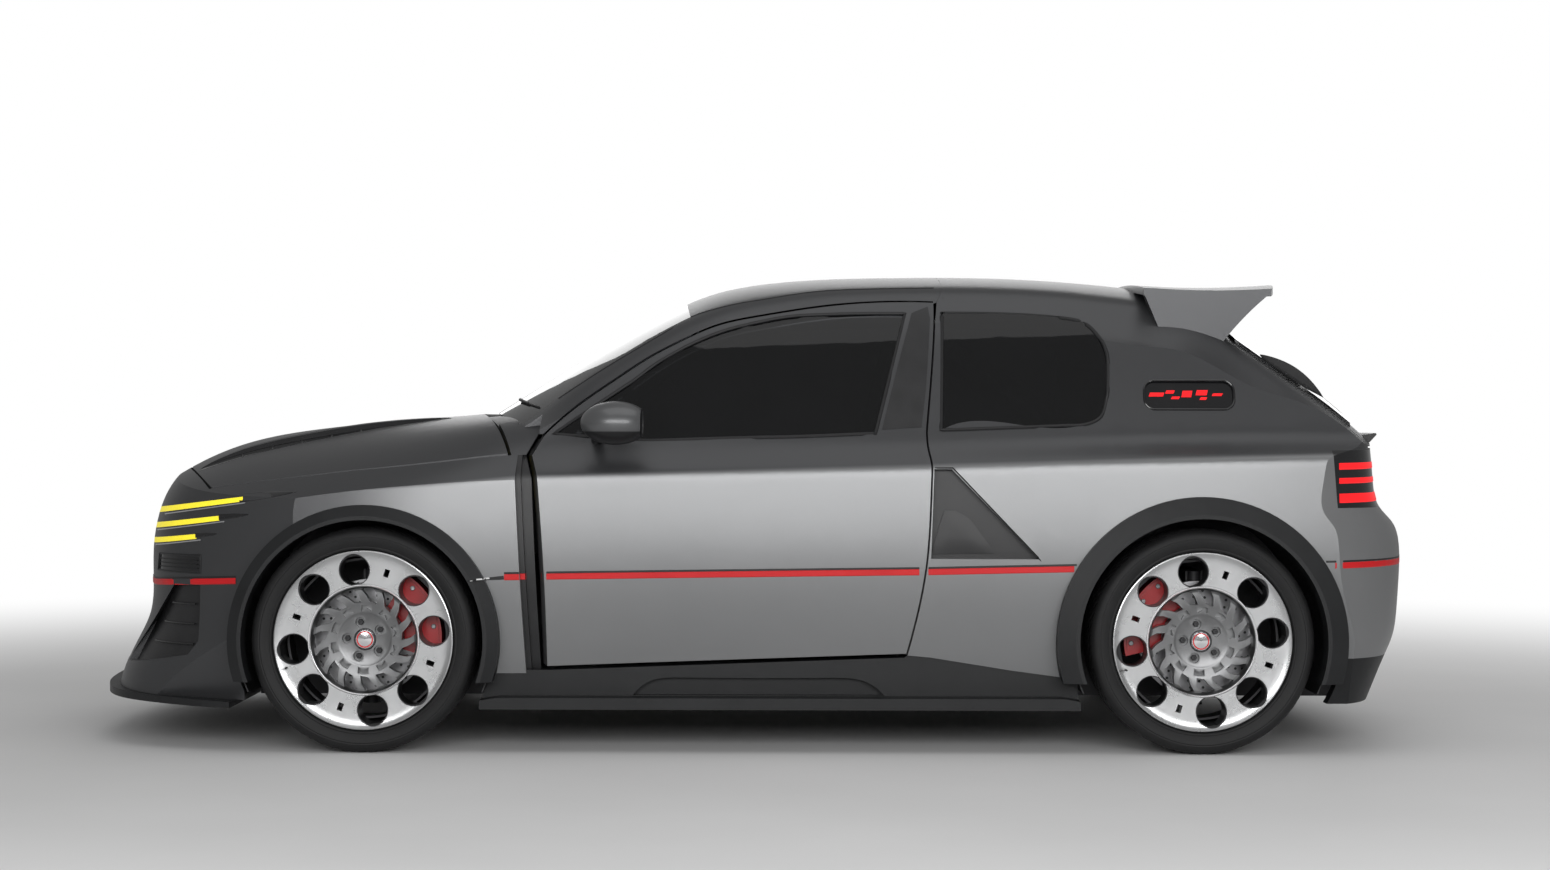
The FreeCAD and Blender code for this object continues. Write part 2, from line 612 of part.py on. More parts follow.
def make_wing(outer):
    """Roof wing: crowned blade on the roof end, with a plate down each side."""
    crest = curve_through((1150, 1462), (1217, 1463), (1336, 1456), (1450, 1453), (1600, 1457),
                          (1719, 1464), (1760, 1466))
    widths = both_ways((0, 150, 300, 450, 600, 640))
    rows = [[Vector(x, y, crest(x) - 32 * (y / 600) ** 2) for y in widths]
            for x in stations(1180, 1740, 9)]
    blade = net_face(rows).extrude(Vector(0, 0, -24))
    tip, root = 1719, 1240
    trailing = [(tip - 79 * (y / 600) ** 2, y) for y in (-603, -400, -200, 0, 200, 400, 603)]
    plan = plan_outline([(root, -603), trailing[0]], trailing, [trailing[-1], (root, 603)],
                        [(root, 603), (root, -603)])
    blade = blade.common(upright(plan, 1300, 1560))
    plate = side_outline([(1240, 1412), (1440, 1409), (1638, 1413)],
                         [(1638, 1413), (1568, 1350), (1490, 1262)],
                         [(1490, 1262), (1300, 1270)], [(1300, 1270), (1240, 1412)])
    wing = blade
    for side in (LEFT, RIGHT):
        wing = wing.fuse(between(plate, side * 566, side * 603))
    wing = wing.cut(outer)
    add("roof_wing", largest(wing))


def make_side_vents(rear_vents):
    """Black panels: the slot between front wing and door, and the intake behind the door."""
    slot = side_outline(*polygon([(-676, 236), (-708, 831), (-704, 902), (-676, 930), (-662, 930),
                                  (-681, 902), (-661, 831), (-633, 236)]))
    flange = side_outline(*polygon([(-676, 236), (-708, 831), (-704, 902), (-690, 902), (-692, 831),
                                    (-660, 236)]))
    vents = list(rear_vents)
    for side in (LEFT, RIGHT):
        deep = flank_wall(side, 36, 12).common(between(slot, side * 600, side * 1000))
        seat = flank_wall(side, SKIN - 5, 20).common(between(flange, side * 600, side * 1000))
        panel = deep.fuse(seat).cut(region(-720, -600, -1000, 1000, 200, 246.3))
        vents.append(largest(panel.cut(region(-720, -660, -1000, 1000, 902, 940))))
    add("side_vents", pieces(*vents))


def splitter_blade():
    """Blade under the nose."""
    edge = [(-2084 + 45 * (y / 500) ** 2 + 160 * (abs(y) / 800) ** 8, y)
            for y in (-862, -800, -700, -500, -250, 0, 250, 500, 700, 800, 862)]
    end = -1573
    plan = plan_outline(edge, [edge[-1], (end, 880)], [(end, 880), (end, -880)], [(end, -880), edge[0]])
    blade = side_outline(*polygon([(-2150, 152), (-2150, 182), (-2040, 172), (-1560, 150), (-1560, 131)]))
    return upright(plan, 100, 260).common(between(blade, -900, 900))


def make_skirts():
    top = [(-812, 133), (-812, 200), (-795, 236), (-676, 236), (-676, 246), (-600, 246),
           (478, 286), (488, 293), (557, 287), (801, 248), (996, 222), (1008, 216),
           (1008, 133)]
    upper = side_outline(*polygon(top))
    lip = side_outline(*polygon([(-812, 133), (-812, 160), (-760, 168), (960, 168), (1008, 160),
                                 (1008, 133)]))
    scoop = side_outline([(-350, 170), (-300, 212), (-200, 224), (250, 224), (360, 212), (417, 170)],
                         [(417, 170), (-350, 170)])
    inner = size("floor_half_width")
    skirts = []
    clear = size("liner_radius") + size("liner_wall") + 0.3
    wheel_space = drum(FRONT_X, AXLE_Z, clear, -1000, 1000)
    wheel_space = wheel_space.fuse(drum(REAR_X, AXLE_Z, clear, -1000, 1000))
    for side in (LEFT, RIGHT):
        skirt = between(upper, side * inner, side * 832).cut(wheel_space)
        skirt = skirt.cut(between(scoop, side * 806, side * 900))
        skirts.append(largest(skirt.fuse(between(lip, side * inner, side * 905))))
    add("side_skirts", pieces(*skirts))


def make_beams(front_inner):
    front = region(-2060, size("tub_front"), -440, 440, 497, 566).common(behind_nose(SKIN))
    rear = region(size("rail_rear"), 2120, -470, 470, 340, 440)
    rear = rear.common(ahead_of_tail(size("tailgate_wall")))
    add("bumper_beams", pieces(largest(front), largest(rear)))


def tube(points, radius):
    """Round tube through corner points, with a ball at each corner."""
    shape = None
    for start, end in zip(points, points[1:]):
        a, b = Vector(*start), Vector(*end)
        rod = Part.makeCylinder(radius, (b - a).Length, a, b - a)
        shape = rod if shape is None else shape.fuse(rod)
    for corner in points[1:-1]:
        shape = shape.fuse(Part.makeSphere(radius + 2, Vector(*corner)))
    return shape


def make_roll_cage():
    floor = size("floor_bottom") + size("floor_wall")
    radius = 20
    hoop = [(575, -600, floor), (575, -600, 900), (575, -520, 1300), (575, 520, 1300),
            (575, 600, 900), (575, 600, floor)]
    cage = tube(hoop, radius)
    for side in (LEFT, RIGHT):
        brace = [(575, side * 490, 1300), (1150, side * 430, 900), (1150, side * 430, floor)]
        cage = cage.fuse(tube(brace, radius))
    cage = cage.fuse(tube([(575, -440, 1300), (575, 600, 780)], radius - 3))
    add("roll_cage", cage)


def make_dashboard():
    face = size("firewall_x") + size("tub_wall")
    top = side_outline([(face, 600), (face, 890)], [(face, 890), (-600, 912), (-500, 900), (-440, 850)],
                       [(-440, 850), (-430, 760), (-500, 640), (face, 600)])
    add("dashboard", between(top, -690, 690))


def make_steering_wheel():
    centre, tilt = Vector(-330, -370, 955), 25
    radius, grip = size("steering_radius"), size("steering_grip")
    axis = Vector(-math.cos(math.radians(tilt)), 0, -math.sin(math.radians(tilt)))
    rim = Part.makeTorus(radius, grip, centre, axis)
    hub = Part.makeCylinder(38, 190, centre - axis * 8, axis)
    wheel = rim.fuse(hub)
    up = Vector(axis.z, 0, -axis.x)
    for spoke in (up * -1, Vector(0, 1, 0), Vector(0, -1, 0)):
        wheel = wheel.fuse(Part.makeCylinder(11, radius, centre, spoke))
    add("steering_wheel", wheel.cut(NODES[-1].Shape))


def bind(item, **links):
    """Tie properties to sizes of the sheet; an underscore stands for a dot."""
    for name, text in links.items():
        item.setExpression(name.replace("_", "."), text)


def seat_at(item, x, y, z):
    bind(item, Placement_Base_x=x, Placement_Base_y=y, Placement_Base_z=z)


def block(name, corner, lengths):
    """Box from its low corner and its three lengths, all given as expressions."""
    item = DOC.addObject("Part::Box", name)
    seat_at(item, *corner)
    bind(item, Length=lengths[0], Width=lengths[1], Height=lengths[2])
    return item


def rod(name, centre, radius, length, turn=None, sweep=None):
    """Cylinder from its base centre; turn is its rotation from upright."""
    item = DOC.addObject("Part::Cylinder", name)
    if turn:
        item.Placement = FreeCAD.Placement(Vector(), turn)
    seat_at(item, *centre)
    bind(item, Radius=radius, Height=length)
    if sweep:
        bind(item, Angle=sweep)
    return item


OUTWARD = FreeCAD.Rotation(Vector(1, 0, 0), 90)


def joined(name, *items):
    item = DOC.addObject("Part::MultiFuse", name)
    item.Shapes = list(items)
    return item


def without(name, base, tool):
    item = DOC.addObject("Part::Cut", name)
    item.Base, item.Tool = base, tool
    return item


def across(name, source):
    """Copy of a left piece on the right side of the car."""
    item = DOC.addObject("Part::Mirroring", name)
    item.Source, item.Base, item.Normal = source, Vector(), Vector(0, 1, 0)
    return item


def finish(item, label):
    item.Label = label
    NODES.append(item)


def as_pair(label, left):
    """One node from a left piece and its copy on the right."""
    left.Label = label + "_one"
    both = DOC.addObject("Part::Compound", label)
    both.Links = [left, across(label + "_other", left)]
    finish(both, label)


def as_twins(stem, left):
    """Two nodes from a left piece and its copy on the right."""
    finish(left, stem + "_left")
    finish(across(stem + "_right", left), stem + "_right")


def plane_of(body, role):
    return next(item for item in body.Origin.OriginFeatures if item.Role == role)


def section_sketch(body, name, corners):
    """Closed profile of a turned piece: corners are (outward offset, radius) expressions."""
    sketch = body.newObject("Sketcher::SketchObject", name)
    sketch.AttachmentSupport = (plane_of(body, "YZ_Plane"), [""])
    sketch.MapMode = "FlatFace"
    count = len(corners)
    circle = [Vector(-100 * math.cos(i * math.tau / count), 200 + 100 * math.sin(i * math.tau / count), 0)
              for i in range(count)]
    for i in range(count):
        sketch.addGeometry(Part.LineSegment(circle[i], circle[(i + 1) % count]))
    for i in range(count):
        sketch.addConstraint(Sketcher.Constraint("Coincident", i, 2, (i + 1) % count, 1))
    for i, (offset, radius) in enumerate(corners):
        for kind, text, value in (("DistanceX", f"-({offset})", circle[i].x),
                                  ("DistanceY", radius, circle[i].y)):
            number = sketch.addConstraint(Sketcher.Constraint(kind, -1, 1, i, 1, value))
            sketch.setExpression(f"Constraints[{number}]", text)
    return sketch


def turned(name, corners, x):
    """Turned piece on the left side, on the wheel axis at x."""
    body = DOC.addObject("PartDesign::Body", name)
    sketch = section_sketch(body, name + "Section", corners)
    spin = body.newObject("PartDesign::Revolution", name + "Turn")
    spin.Profile = sketch
    spin.ReferenceAxis = (sketch, ["H_Axis"])
    seat_at(body, x, "-Sizes.track_width / 2", "Sizes.tyre_radius")
    body.Tip = spin
    return body


def face_sketch(body, name):
    sketch = body.newObject("Sketcher::SketchObject", name)
    sketch.AttachmentSupport = (plane_of(body, "XZ_Plane"), [""])
    sketch.MapMode = "FlatFace"
    return sketch


def punch(body, name, sketch, count):
    """Cut a sketch right through a wheel and repeat it around the axis."""
    pocket = body.newObject("PartDesign::Pocket", name)
    pocket.Profile = sketch
    pocket.Type = "ThroughAll"
    pocket.Midplane = True
    ring = body.newObject("PartDesign::PolarPattern", name + "Ring")
    ring.Originals = [pocket]
    ring.Axis = (sketch, ["N_Axis"])
    ring.Angle = 360
    if isinstance(count, str):
        bind(ring, Occurrences=count)
    else:
        ring.Occurrences = count
    body.Tip = ring
    return ring


def circle_at(sketch, pitch, angle, radius):
    """Round hole at a pitch radius and an angle, both tied to the sheet."""
    index = sketch.addGeometry(Part.Circle(Vector(120, 120, 0), Vector(0, 0, 1), 10))
    for kind, text, value in (("DistanceX", f"{pitch} * cos({angle} * 1deg)", 120),
                              ("DistanceY", f"{pitch} * sin({angle} * 1deg)", 120)):
        number = sketch.addConstraint(Sketcher.Constraint(kind, -1, 1, index, 3, value))
        sketch.setExpression(f"Constraints[{number}]", text)
    number = sketch.addConstraint(Sketcher.Constraint("Radius", index, 10))
    sketch.setExpression(f"Constraints[{number}]", radius)


def make_tyre(name, x):
    half, bead = "Sizes.tyre_width / 2", "Sizes.tyre_bead_width - Sizes.seat_fit"
    foot, lip = "Sizes.seat_radius + Sizes.seat_fit", "Sizes.rim_lip_radius + Sizes.seat_fit"
    outer = [(bead, foot), (bead, lip), (f"{half} - 12", f"{lip} + 1"), (half, f"{lip} + 26"),
             (f"{half} - 10", "Sizes.tyre_radius - 11"),
             (f"{half} - Sizes.tyre_shoulder", "Sizes.tyre_radius")]
    inner = [(f"-({offset})", radius) for offset, radius in reversed(outer)]
    return turned(name, outer + inner, x)


def make_rim(name, x):
    lip, seat, bead = "Sizes.rim_lip_radius", "Sizes.seat_radius", "Sizes.tyre_bead_width"
    lip_end = f"{bead} + Sizes.rim_lip_width"
    well = f"{seat} - Sizes.barrel_wall"
    face, back = "Sizes.rim_face_offset", "Sizes.rim_face_offset - Sizes.rim_face_wall"
    dish, dish_back = "Sizes.dish_offset", "Sizes.dish_offset - Sizes.dish_wall"
    hub, hub_back = "Sizes.hub_offset", "Sizes.hub_offset - Sizes.dish_wall"
    ring, bore, core = "Sizes.ring_radius", "Sizes.bore_radius", "Sizes.hub_radius"
    corners = [(lip_end, lip), (bead, lip), (bead, seat), (f"-{bead}", seat), (f"-{bead}", f"{lip} - 4"),
               (f"-({lip_end})", f"{lip} - 4"), (f"-({lip_end})", well), (back, well), (dish_back, ring),
               (hub_back, core), (hub_back, bore), (hub, bore), (hub, core), (dish, f"{core} + 4"),
               (dish, f"{ring} - 12"), (f"{face} - 8", ring), (face, f"{ring} + 4"),
               (f"{face} + 2", f"{lip} - 12"), (lip_end, f"{lip} - 5")]
    body = turned(name, corners, x)
    holes = face_sketch(body, name + "Holes")
    for sign in ("-", "+"):
        circle_at(holes, "Sizes.round_hole_pitch", f"(Sizes.slot_angle {sign} Sizes.hole_pair_angle)",
                  "Sizes.round_hole_radius")
    punch(body, name + "HoleCut", holes, 4)
    bolts = face_sketch(body, name + "Bolts")
    circle_at(bolts, "Sizes.lug_pitch_radius", "105", "Sizes.lug_hole_radius")
    punch(body, name + "BoltCut", bolts, "Sizes.lug_count")
    windows = face_sketch(body, name + "Windows")
    corners = (("Sizes.window_outer", "-7"), ("Sizes.window_outer", "7"), ("Sizes.window_inner", "10"))
    spots = [Vector(150, -20, 0), Vector(150, 20, 0), Vector(100, 20, 0)]
    for i in range(3):
        windows.addGeometry(Part.LineSegment(spots[i], spots[(i + 1) % 3]))
    for i in range(3):
        windows.addConstraint(Sketcher.Constraint("Coincident", i, 2, (i + 1) % 3, 1))
    for i, (reach, angle) in enumerate(corners):
        for kind, wave, value in (("DistanceX", "cos", spots[i].x), ("DistanceY", "sin", spots[i].y)):
            number = windows.addConstraint(Sketcher.Constraint(kind, -1, 1, i, 1, value))
            windows.setExpression(f"Constraints[{number}]", f"{reach} * {wave}({angle} * 1deg)")
    punch(body, name + "WindowCut", windows, "Sizes.window_count")
    return body


def make_disc(name, x):
    inner_face = "-(Sizes.disc_offset + Sizes.disc_wall)"
    outer_face = "-Sizes.disc_offset"
    hat, shaft, depth = "Sizes.disc_hat_radius", "Sizes.shaft_radius", "-Sizes.shaft_depth"
    seat = "Sizes.hub_offset - Sizes.dish_wall - Sizes.seat_fit"
    spigot = "Sizes.bore_radius - Sizes.seat_fit"
    corners = [(depth, "6"), (depth, shaft), (f"{seat} - 10", shaft), (f"{seat} - 10", f"{hat} - 10"),
               (inner_face, f"{hat} - 10"), (inner_face, "Sizes.disc_radius"),
               (outer_face, "Sizes.disc_radius"), (outer_face, hat), (seat, hat), (seat, spigot),
               ("Sizes.hub_offset - 6", spigot), ("Sizes.hub_offset - 6", "6")]
    return turned(name, corners, x)


CALIPER_BACK = "(Sizes.disc_offset + Sizes.disc_wall + Sizes.caliper_clearance + Sizes.caliper_wall)"


def at_wheel(x, outward):
    """Place on the left wheel axis, so far outward of the middle of the tyre."""
    return x, f"-Sizes.track_width / 2 - ({outward})", "Sizes.tyre_radius"


def make_caliper(name, x, middle_angle):
    start = FreeCAD.Rotation(Vector(0, 0, 1), middle_angle - size("caliper_half_angle"))
    turn = OUTWARD.multiply(start)
    span = f"{CALIPER_BACK} - Sizes.disc_offset + Sizes.caliper_clearance + Sizes.caliper_wall"
    base = at_wheel(x, f"-{CALIPER_BACK}")
    sweep = "2 * Sizes.caliper_half_angle"
    outer = rod(name + "Outer", base, "Sizes.caliper_outer", span, turn, sweep)
    inner = rod(name + "Inner", base, "Sizes.caliper_inner", span, OUTWARD)
    slot = rod(name + "Slot", at_wheel(x, f"-{CALIPER_BACK} + Sizes.caliper_wall"),
               "Sizes.disc_radius + Sizes.caliper_clearance",
               "Sizes.disc_wall + 2 * Sizes.caliper_clearance", OUTWARD)
    return without(name, outer, joined(name + "Void", inner, slot))


def make_upright(name, x, middle_angle):
    """Hub carrier: bearing housing, upright post and the bracket of the caliper."""
    post = rod(name + "Post", (x, "-Sizes.track_width / 2 + Sizes.kingpin_offset",
                               "Sizes.tyre_radius - Sizes.kingpin_reach"),
               "Sizes.kingpin_radius", "2 * Sizes.kingpin_reach")
    back = "-Sizes.shaft_depth + 2"
    housing = rod(name + "Housing", at_wheel(x, back), "46", "50", OUTWARD)
    bracket = DOC.addObject("Part::Box", name + "Bracket")
    angle = FreeCAD.Rotation(Vector(0, 0, 1), middle_angle)
    bracket.Placement = FreeCAD.Placement(Vector(), OUTWARD.multiply(angle))
    bind(bracket, Length="150", Width="50", Height="16")
    rad = math.radians(middle_angle)
    seat_at(bracket, f"{x} + {25 * math.sin(rad):.3f}",
            f"-Sizes.track_width / 2 + {CALIPER_BACK} + 16", f"Sizes.tyre_radius - {25 * math.cos(rad):.3f}")
    bore = rod(name + "Bore", at_wheel(x, "-Sizes.shaft_depth - 20"), "Sizes.shaft_radius + Sizes.shaft_fit",
               "140", OUTWARD)
    return without(name, joined(name + "Solid", post, housing, bracket), bore)


def make_arms(name, x):
    """Upper and lower arm and the damper between them, from tub wall to upright."""
    wall = "-Sizes.tub_half_width"
    pin = "-Sizes.track_width / 2 + Sizes.kingpin_offset"
    reach = f"{wall} - ({pin})"
    low = "Sizes.tyre_radius - Sizes.kingpin_reach - Sizes.arm_height"
    high = "Sizes.tyre_radius + Sizes.kingpin_reach"
    parts = []
    for tag, level in (("Low", low), ("High", high)):
        parts.append(block(name + tag + "Arm", (f"{x} - Sizes.arm_half_width", pin, level),
                           ("2 * Sizes.arm_half_width", reach, "Sizes.arm_height")))
        parts.append(rod(name + tag + "Eye", (x, pin, level), "20", "Sizes.arm_height"))
    parts.append(rod(name + "Damper", (x, f"{wall} - 75", f"{low} + Sizes.arm_height"),
                     "Sizes.damper_radius", "2 * Sizes.kingpin_reach"))
    return joined(name, *parts)


def make_flare(name, x, opening, outer):
    """Wheel arch moulding: a ring around the wheel, cut off above the sill."""
    root = "Sizes.flare_root - Sizes.track_width / 2"
    edge = "Sizes.flare_edge_out - Sizes.track_width / 2"
    face = "Sizes.flare_out - Sizes.track_width / 2"
    body = turned(name + "Ring", [(root, opening), (face, opening), (face, f"{opening} + 12"),
                                  (edge, outer), (root, outer)], x)
    foot = block(name + "Foot", (f"{x} - 500", "-1000", "-200"), ("1000", "400", "Sizes.flare_bottom + 200"))
    return without(name, body, foot)


def make_liner(name, x):
    width = "Sizes.flare_root - Sizes.tub_half_width"
    base = (x, "-Sizes.tub_half_width", "Sizes.tyre_radius")
    outer = rod(name + "Outer", base, "Sizes.liner_radius + Sizes.liner_wall", width, OUTWARD)
    inner = rod(name + "Inner", base, "Sizes.liner_radius", width, OUTWARD)
    foot = block(name + "Foot", (f"{x} - 500", "-1000", "-200"), ("1000", "700", "380"))
    return without(name, outer, joined(name + "Void", inner, foot))


def make_running_gear():
    front, rear = "Sizes.front_axle_x", "(Sizes.front_axle_x + Sizes.wheelbase)"
    for axle, x in (("front", front), ("rear", rear)):
        as_twins("tyre_" + axle, make_tyre("Tyre" + axle, x))
        as_twins("rim_" + axle, make_rim("Rim" + axle, x))
        as_twins("brake_disc_" + axle, make_disc("Disc" + axle, x))
    as_twins("knuckle", make_upright("Knuckle", front, 20))
    as_twins("caliper_front", make_caliper("CaliperFront", front, 20))
    as_pair("calipers_rear", make_caliper("CaliperRear", rear, 155))
    as_pair("front_suspension", make_arms("FrontArms", front))
    upright_rear = make_upright("RearUpright", rear, 155)
    as_pair("rear_suspension", joined("RearArms", make_arms("RearLinks", rear), upright_rear))
    flares = [make_flare("FrontFlare", front, "Sizes.front_arch_radius", "Sizes.front_flare_radius"),
              make_flare("RearFlare", rear, "Sizes.rear_arch_radius", "Sizes.rear_flare_radius")]
    liners = [make_liner("FrontLiner", front), make_liner("RearLiner", rear)]
    for label, items in (("wheel_flares", flares), ("arch_liners", liners)):
        group = DOC.addObject("Part::Compound", label)
        group.Links = items + [across(item.Name + "Right", item) for item in items]
        finish(group, label)


def make_floor():
    """Tub of the car: floor plate, side walls beside the wheels, firewall and bulkhead."""
    half, wall, base = "Sizes.tub_half_width", "Sizes.tub_wall", "Sizes.floor_bottom"
    top = f"{base} + Sizes.floor_wall"
    wide = "Sizes.floor_half_width"
    parts = [
        block("FloorSpine", ("Sizes.tub_front", f"-{half}", base),
              ("Sizes.rail_rear - Sizes.tub_front", f"2 * {half}", "Sizes.floor_wall")),
        block("FloorWide", ("-745", f"-{wide}", base), ("1705", f"2 * {wide}", "Sizes.floor_wall")),
        block("TubFront", ("Sizes.tub_front", f"-{half}", top),
              (wall, f"2 * {half}", f"Sizes.tub_top - ({top})")),
        block("Firewall", ("Sizes.firewall_x", "-690", top),
              (wall, "1380", f"Sizes.firewall_top - ({top})")),
        block("Bulkhead", ("Sizes.bulkhead_x", "-640", top),
              (wall, "1280", f"Sizes.bulkhead_top - ({top})")),
    ]
    for tag, y in (("Left", f"-{half}"), ("Right", f"{half} - {wall}")):
        parts.append(block("TubSide" + tag, ("Sizes.tub_front", y, top),
                           ("Sizes.firewall_x - Sizes.tub_front", wall, f"Sizes.tub_top - ({top})")))
        parts.append(block("RailSide" + tag, ("Sizes.bulkhead_x", y, top),
                           ("Sizes.rail_rear - Sizes.bulkhead_x", wall, "405")))
    for tag, y in (("Left", f"-{wide}"), ("Right", f"{wide} - 60")):
        parts.append(block("Sill" + tag, ("Sizes.firewall_x + 12", y, top), ("1200", "60", "80")))
    finish(joined("FloorTub", *parts), "floor_pan")


def make_engine():
    finish(block("EngineBlock", ("Sizes.bulkhead_x + 60", "-300", "Sizes.floor_bottom + Sizes.floor_wall"),
                 ("400", "600", "560")), "engine_block")
    pipes = []
    for tag, y in (("Left", "-120"), ("Right", "120")):
        outer = rod("Pipe" + tag, ("Sizes.bulkhead_x + 460", y, "240"), "38", "970",
                    FreeCAD.Rotation(Vector(0, 1, 0), 90))
        inner = rod("PipeVoid" + tag, ("Sizes.bulkhead_x + 1380", y, "240"), "33", "60",
                    FreeCAD.Rotation(Vector(0, 1, 0), 90))
        pipes.append(without("PipeEnd" + tag, outer, inner))
    group = DOC.addObject("Part::Compound", "exhaust")
    group.Links = pipes
    finish(group, "exhaust")


def make_seats():
    """Bucket seat on a plinth, one each side."""
    floor = size("floor_bottom") + size("floor_wall")
    shell = side_outline([(-70, 330), (-90, 400), (-60, 440), (60, 405), (300, 372)],
                         [(300, 372), (372, 560), (430, 800), (470, 1120)],
                         [(470, 1120), (490, 1150), (530, 1150), (545, 1120)],
                         [(545, 1120), (530, 800), (480, 480), (420, 300)], [(420, 300), (-70, 330)])
    seats = []
    for side in (LEFT, RIGHT):
        seat = between(shell, side * 150, side * 590)
        plinth = region(0, 380, *sorted((side * 200, side * 540)), floor, 345)
        seats.append(largest(seat.fuse(plinth)))
    add("seats", pieces(*seats))


def make_mirrors():
    centre = Vector(-400, -925, 1000)
    stretch = FreeCAD.Matrix()
    stretch.scale(105, 84, 66)
    housing = Part.makeSphere(1).transformGeometry(stretch)
    housing.translate(centre)
    housing = housing.common(region(-600, -322, -1100, -800, 900, 1100))
    foot = Part.makeCylinder(17, 140, Vector(-470, -770, 940), Vector(25, -110, 40))
    mirror = housing.fuse(foot).cut(inside_flank(LEFT, 0))
    add("mirror_left", largest(mirror))
    add("mirror_right", mirrored(largest(mirror)))


def check_and_write():
    DOC.recompute()
    for item in DOC.Objects:
        bad = [state for state in item.State if state in ("Invalid", "Error")]
        if bad:
            raise RuntimeError(f"{item.Label} failed: {bad}")
    os.makedirs("parts", exist_ok=True)
    for item in NODES:
        shape = item.Shape
        if shape.isNull() or not shape.isValid() or not shape.Solids:
            raise RuntimeError(f"{item.Label} has no sound solid")
        shape.exportStep(f"parts/{item.Label}.step")
        box = shape.optimalBoundingBox(False)
        print(f"{item.Label}: {len(shape.Solids)} solids, {shape.Volume / 1e6:.2f} litres, "
              f"x {box.XMin:.0f} {box.XMax:.0f} y {box.YMin:.0f} {box.YMax:.0f} z {box.ZMin:.0f} {box.ZMax:.0f}")


def main():
    make_floor()
    make_engine()
    make_running_gear()
    front_outer, front_inner = make_front_panels()
    make_doors()
    cabin_outer, rear_vents = make_cabin_panels(front_outer)
    make_wing(cabin_outer)
    make_side_vents(rear_vents)
    add("front_splitter", splitter_blade())
    make_skirts()
    make_beams(front_inner)
    make_roll_cage()
    make_dashboard()
    make_steering_wheel()
    make_seats()
    make_mirrors()
    check_and_write()


main()
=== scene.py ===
"""Looks of the rally hatchback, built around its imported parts."""
import math

import bmesh
import bpy
from mathutils import Matrix, Vector, geometry
from mathutils.bvhtree import BVHTree


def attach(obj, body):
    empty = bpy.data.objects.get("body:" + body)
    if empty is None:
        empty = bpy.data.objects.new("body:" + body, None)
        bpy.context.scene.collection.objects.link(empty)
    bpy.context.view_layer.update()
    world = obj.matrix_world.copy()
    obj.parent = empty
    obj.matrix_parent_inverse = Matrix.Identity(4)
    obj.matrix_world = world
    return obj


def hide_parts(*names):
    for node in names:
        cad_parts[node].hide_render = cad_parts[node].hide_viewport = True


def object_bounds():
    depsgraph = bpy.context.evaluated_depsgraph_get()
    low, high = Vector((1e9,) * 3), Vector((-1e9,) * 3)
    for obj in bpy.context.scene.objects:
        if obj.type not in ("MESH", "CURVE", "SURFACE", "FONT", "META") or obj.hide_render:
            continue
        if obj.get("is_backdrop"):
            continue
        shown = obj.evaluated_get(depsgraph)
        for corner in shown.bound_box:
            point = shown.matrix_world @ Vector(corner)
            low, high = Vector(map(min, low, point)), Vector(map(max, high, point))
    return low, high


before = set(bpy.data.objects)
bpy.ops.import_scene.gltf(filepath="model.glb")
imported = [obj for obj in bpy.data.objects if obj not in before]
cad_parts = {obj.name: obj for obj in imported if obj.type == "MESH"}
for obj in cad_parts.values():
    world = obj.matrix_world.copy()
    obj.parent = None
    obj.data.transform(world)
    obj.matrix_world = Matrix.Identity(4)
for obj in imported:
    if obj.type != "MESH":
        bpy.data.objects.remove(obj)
cad_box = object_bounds()
bpy.context.view_layer.update()

LEFT, RIGHT = -1, 1
SIDES = (("left", LEFT), ("right", RIGHT))
AXLE_X = {"front": -1.163, "rear": 1.377}
AXLE_Z = 0.341
WHEEL_Y = 0.7925


# Materials

def connect(owner, target, inputs):
    """Sets or links the inputs of a shader node, by name or number."""
    for key, value in inputs.items():
        if isinstance(value, bpy.types.NodeSocket):
            owner.node_tree.links.new(value, target.inputs[key])
        else:
            target.inputs[key].default_value = value
    return target


def node(owner, kind, inputs=None, **settings):
    new = owner.node_tree.nodes.new("ShaderNode" + kind)
    for key, value in settings.items():
        setattr(new, key, value)
    return connect(owner, new, inputs or {})


def compute(owner, operation, *values):
    return node(owner, "Math", dict(enumerate(values)), operation=operation).outputs["Value"]


def soft_step(owner, value, start, end):
    """Runs smoothly from 0 at start to 1 at end."""
    return node(owner, "MapRange", {"Value": value, "From Min": start, "From Max": end},
                interpolation_type="SMOOTHSTEP").outputs["Result"]


def shader_of(material):
    return material.node_tree.nodes["Principled BSDF"]


def found(material, kind):
    return next(n for n in material.node_tree.nodes if n.type == kind)


def place_on(material):
    """Position on the car, split into X, Y and Z."""
    place = found(material, "TEX_COORD").outputs["Object"]
    return node(material, "SeparateXYZ", {"Vector": place}).outputs


def blend_color(material, share, first, second):
    blend = node(material, "Mix", {"A": first, "B": second, "Factor": share}, data_type="RGBA")
    connect(material, shader_of(material), {"Base Color": blend.outputs["Result"]})


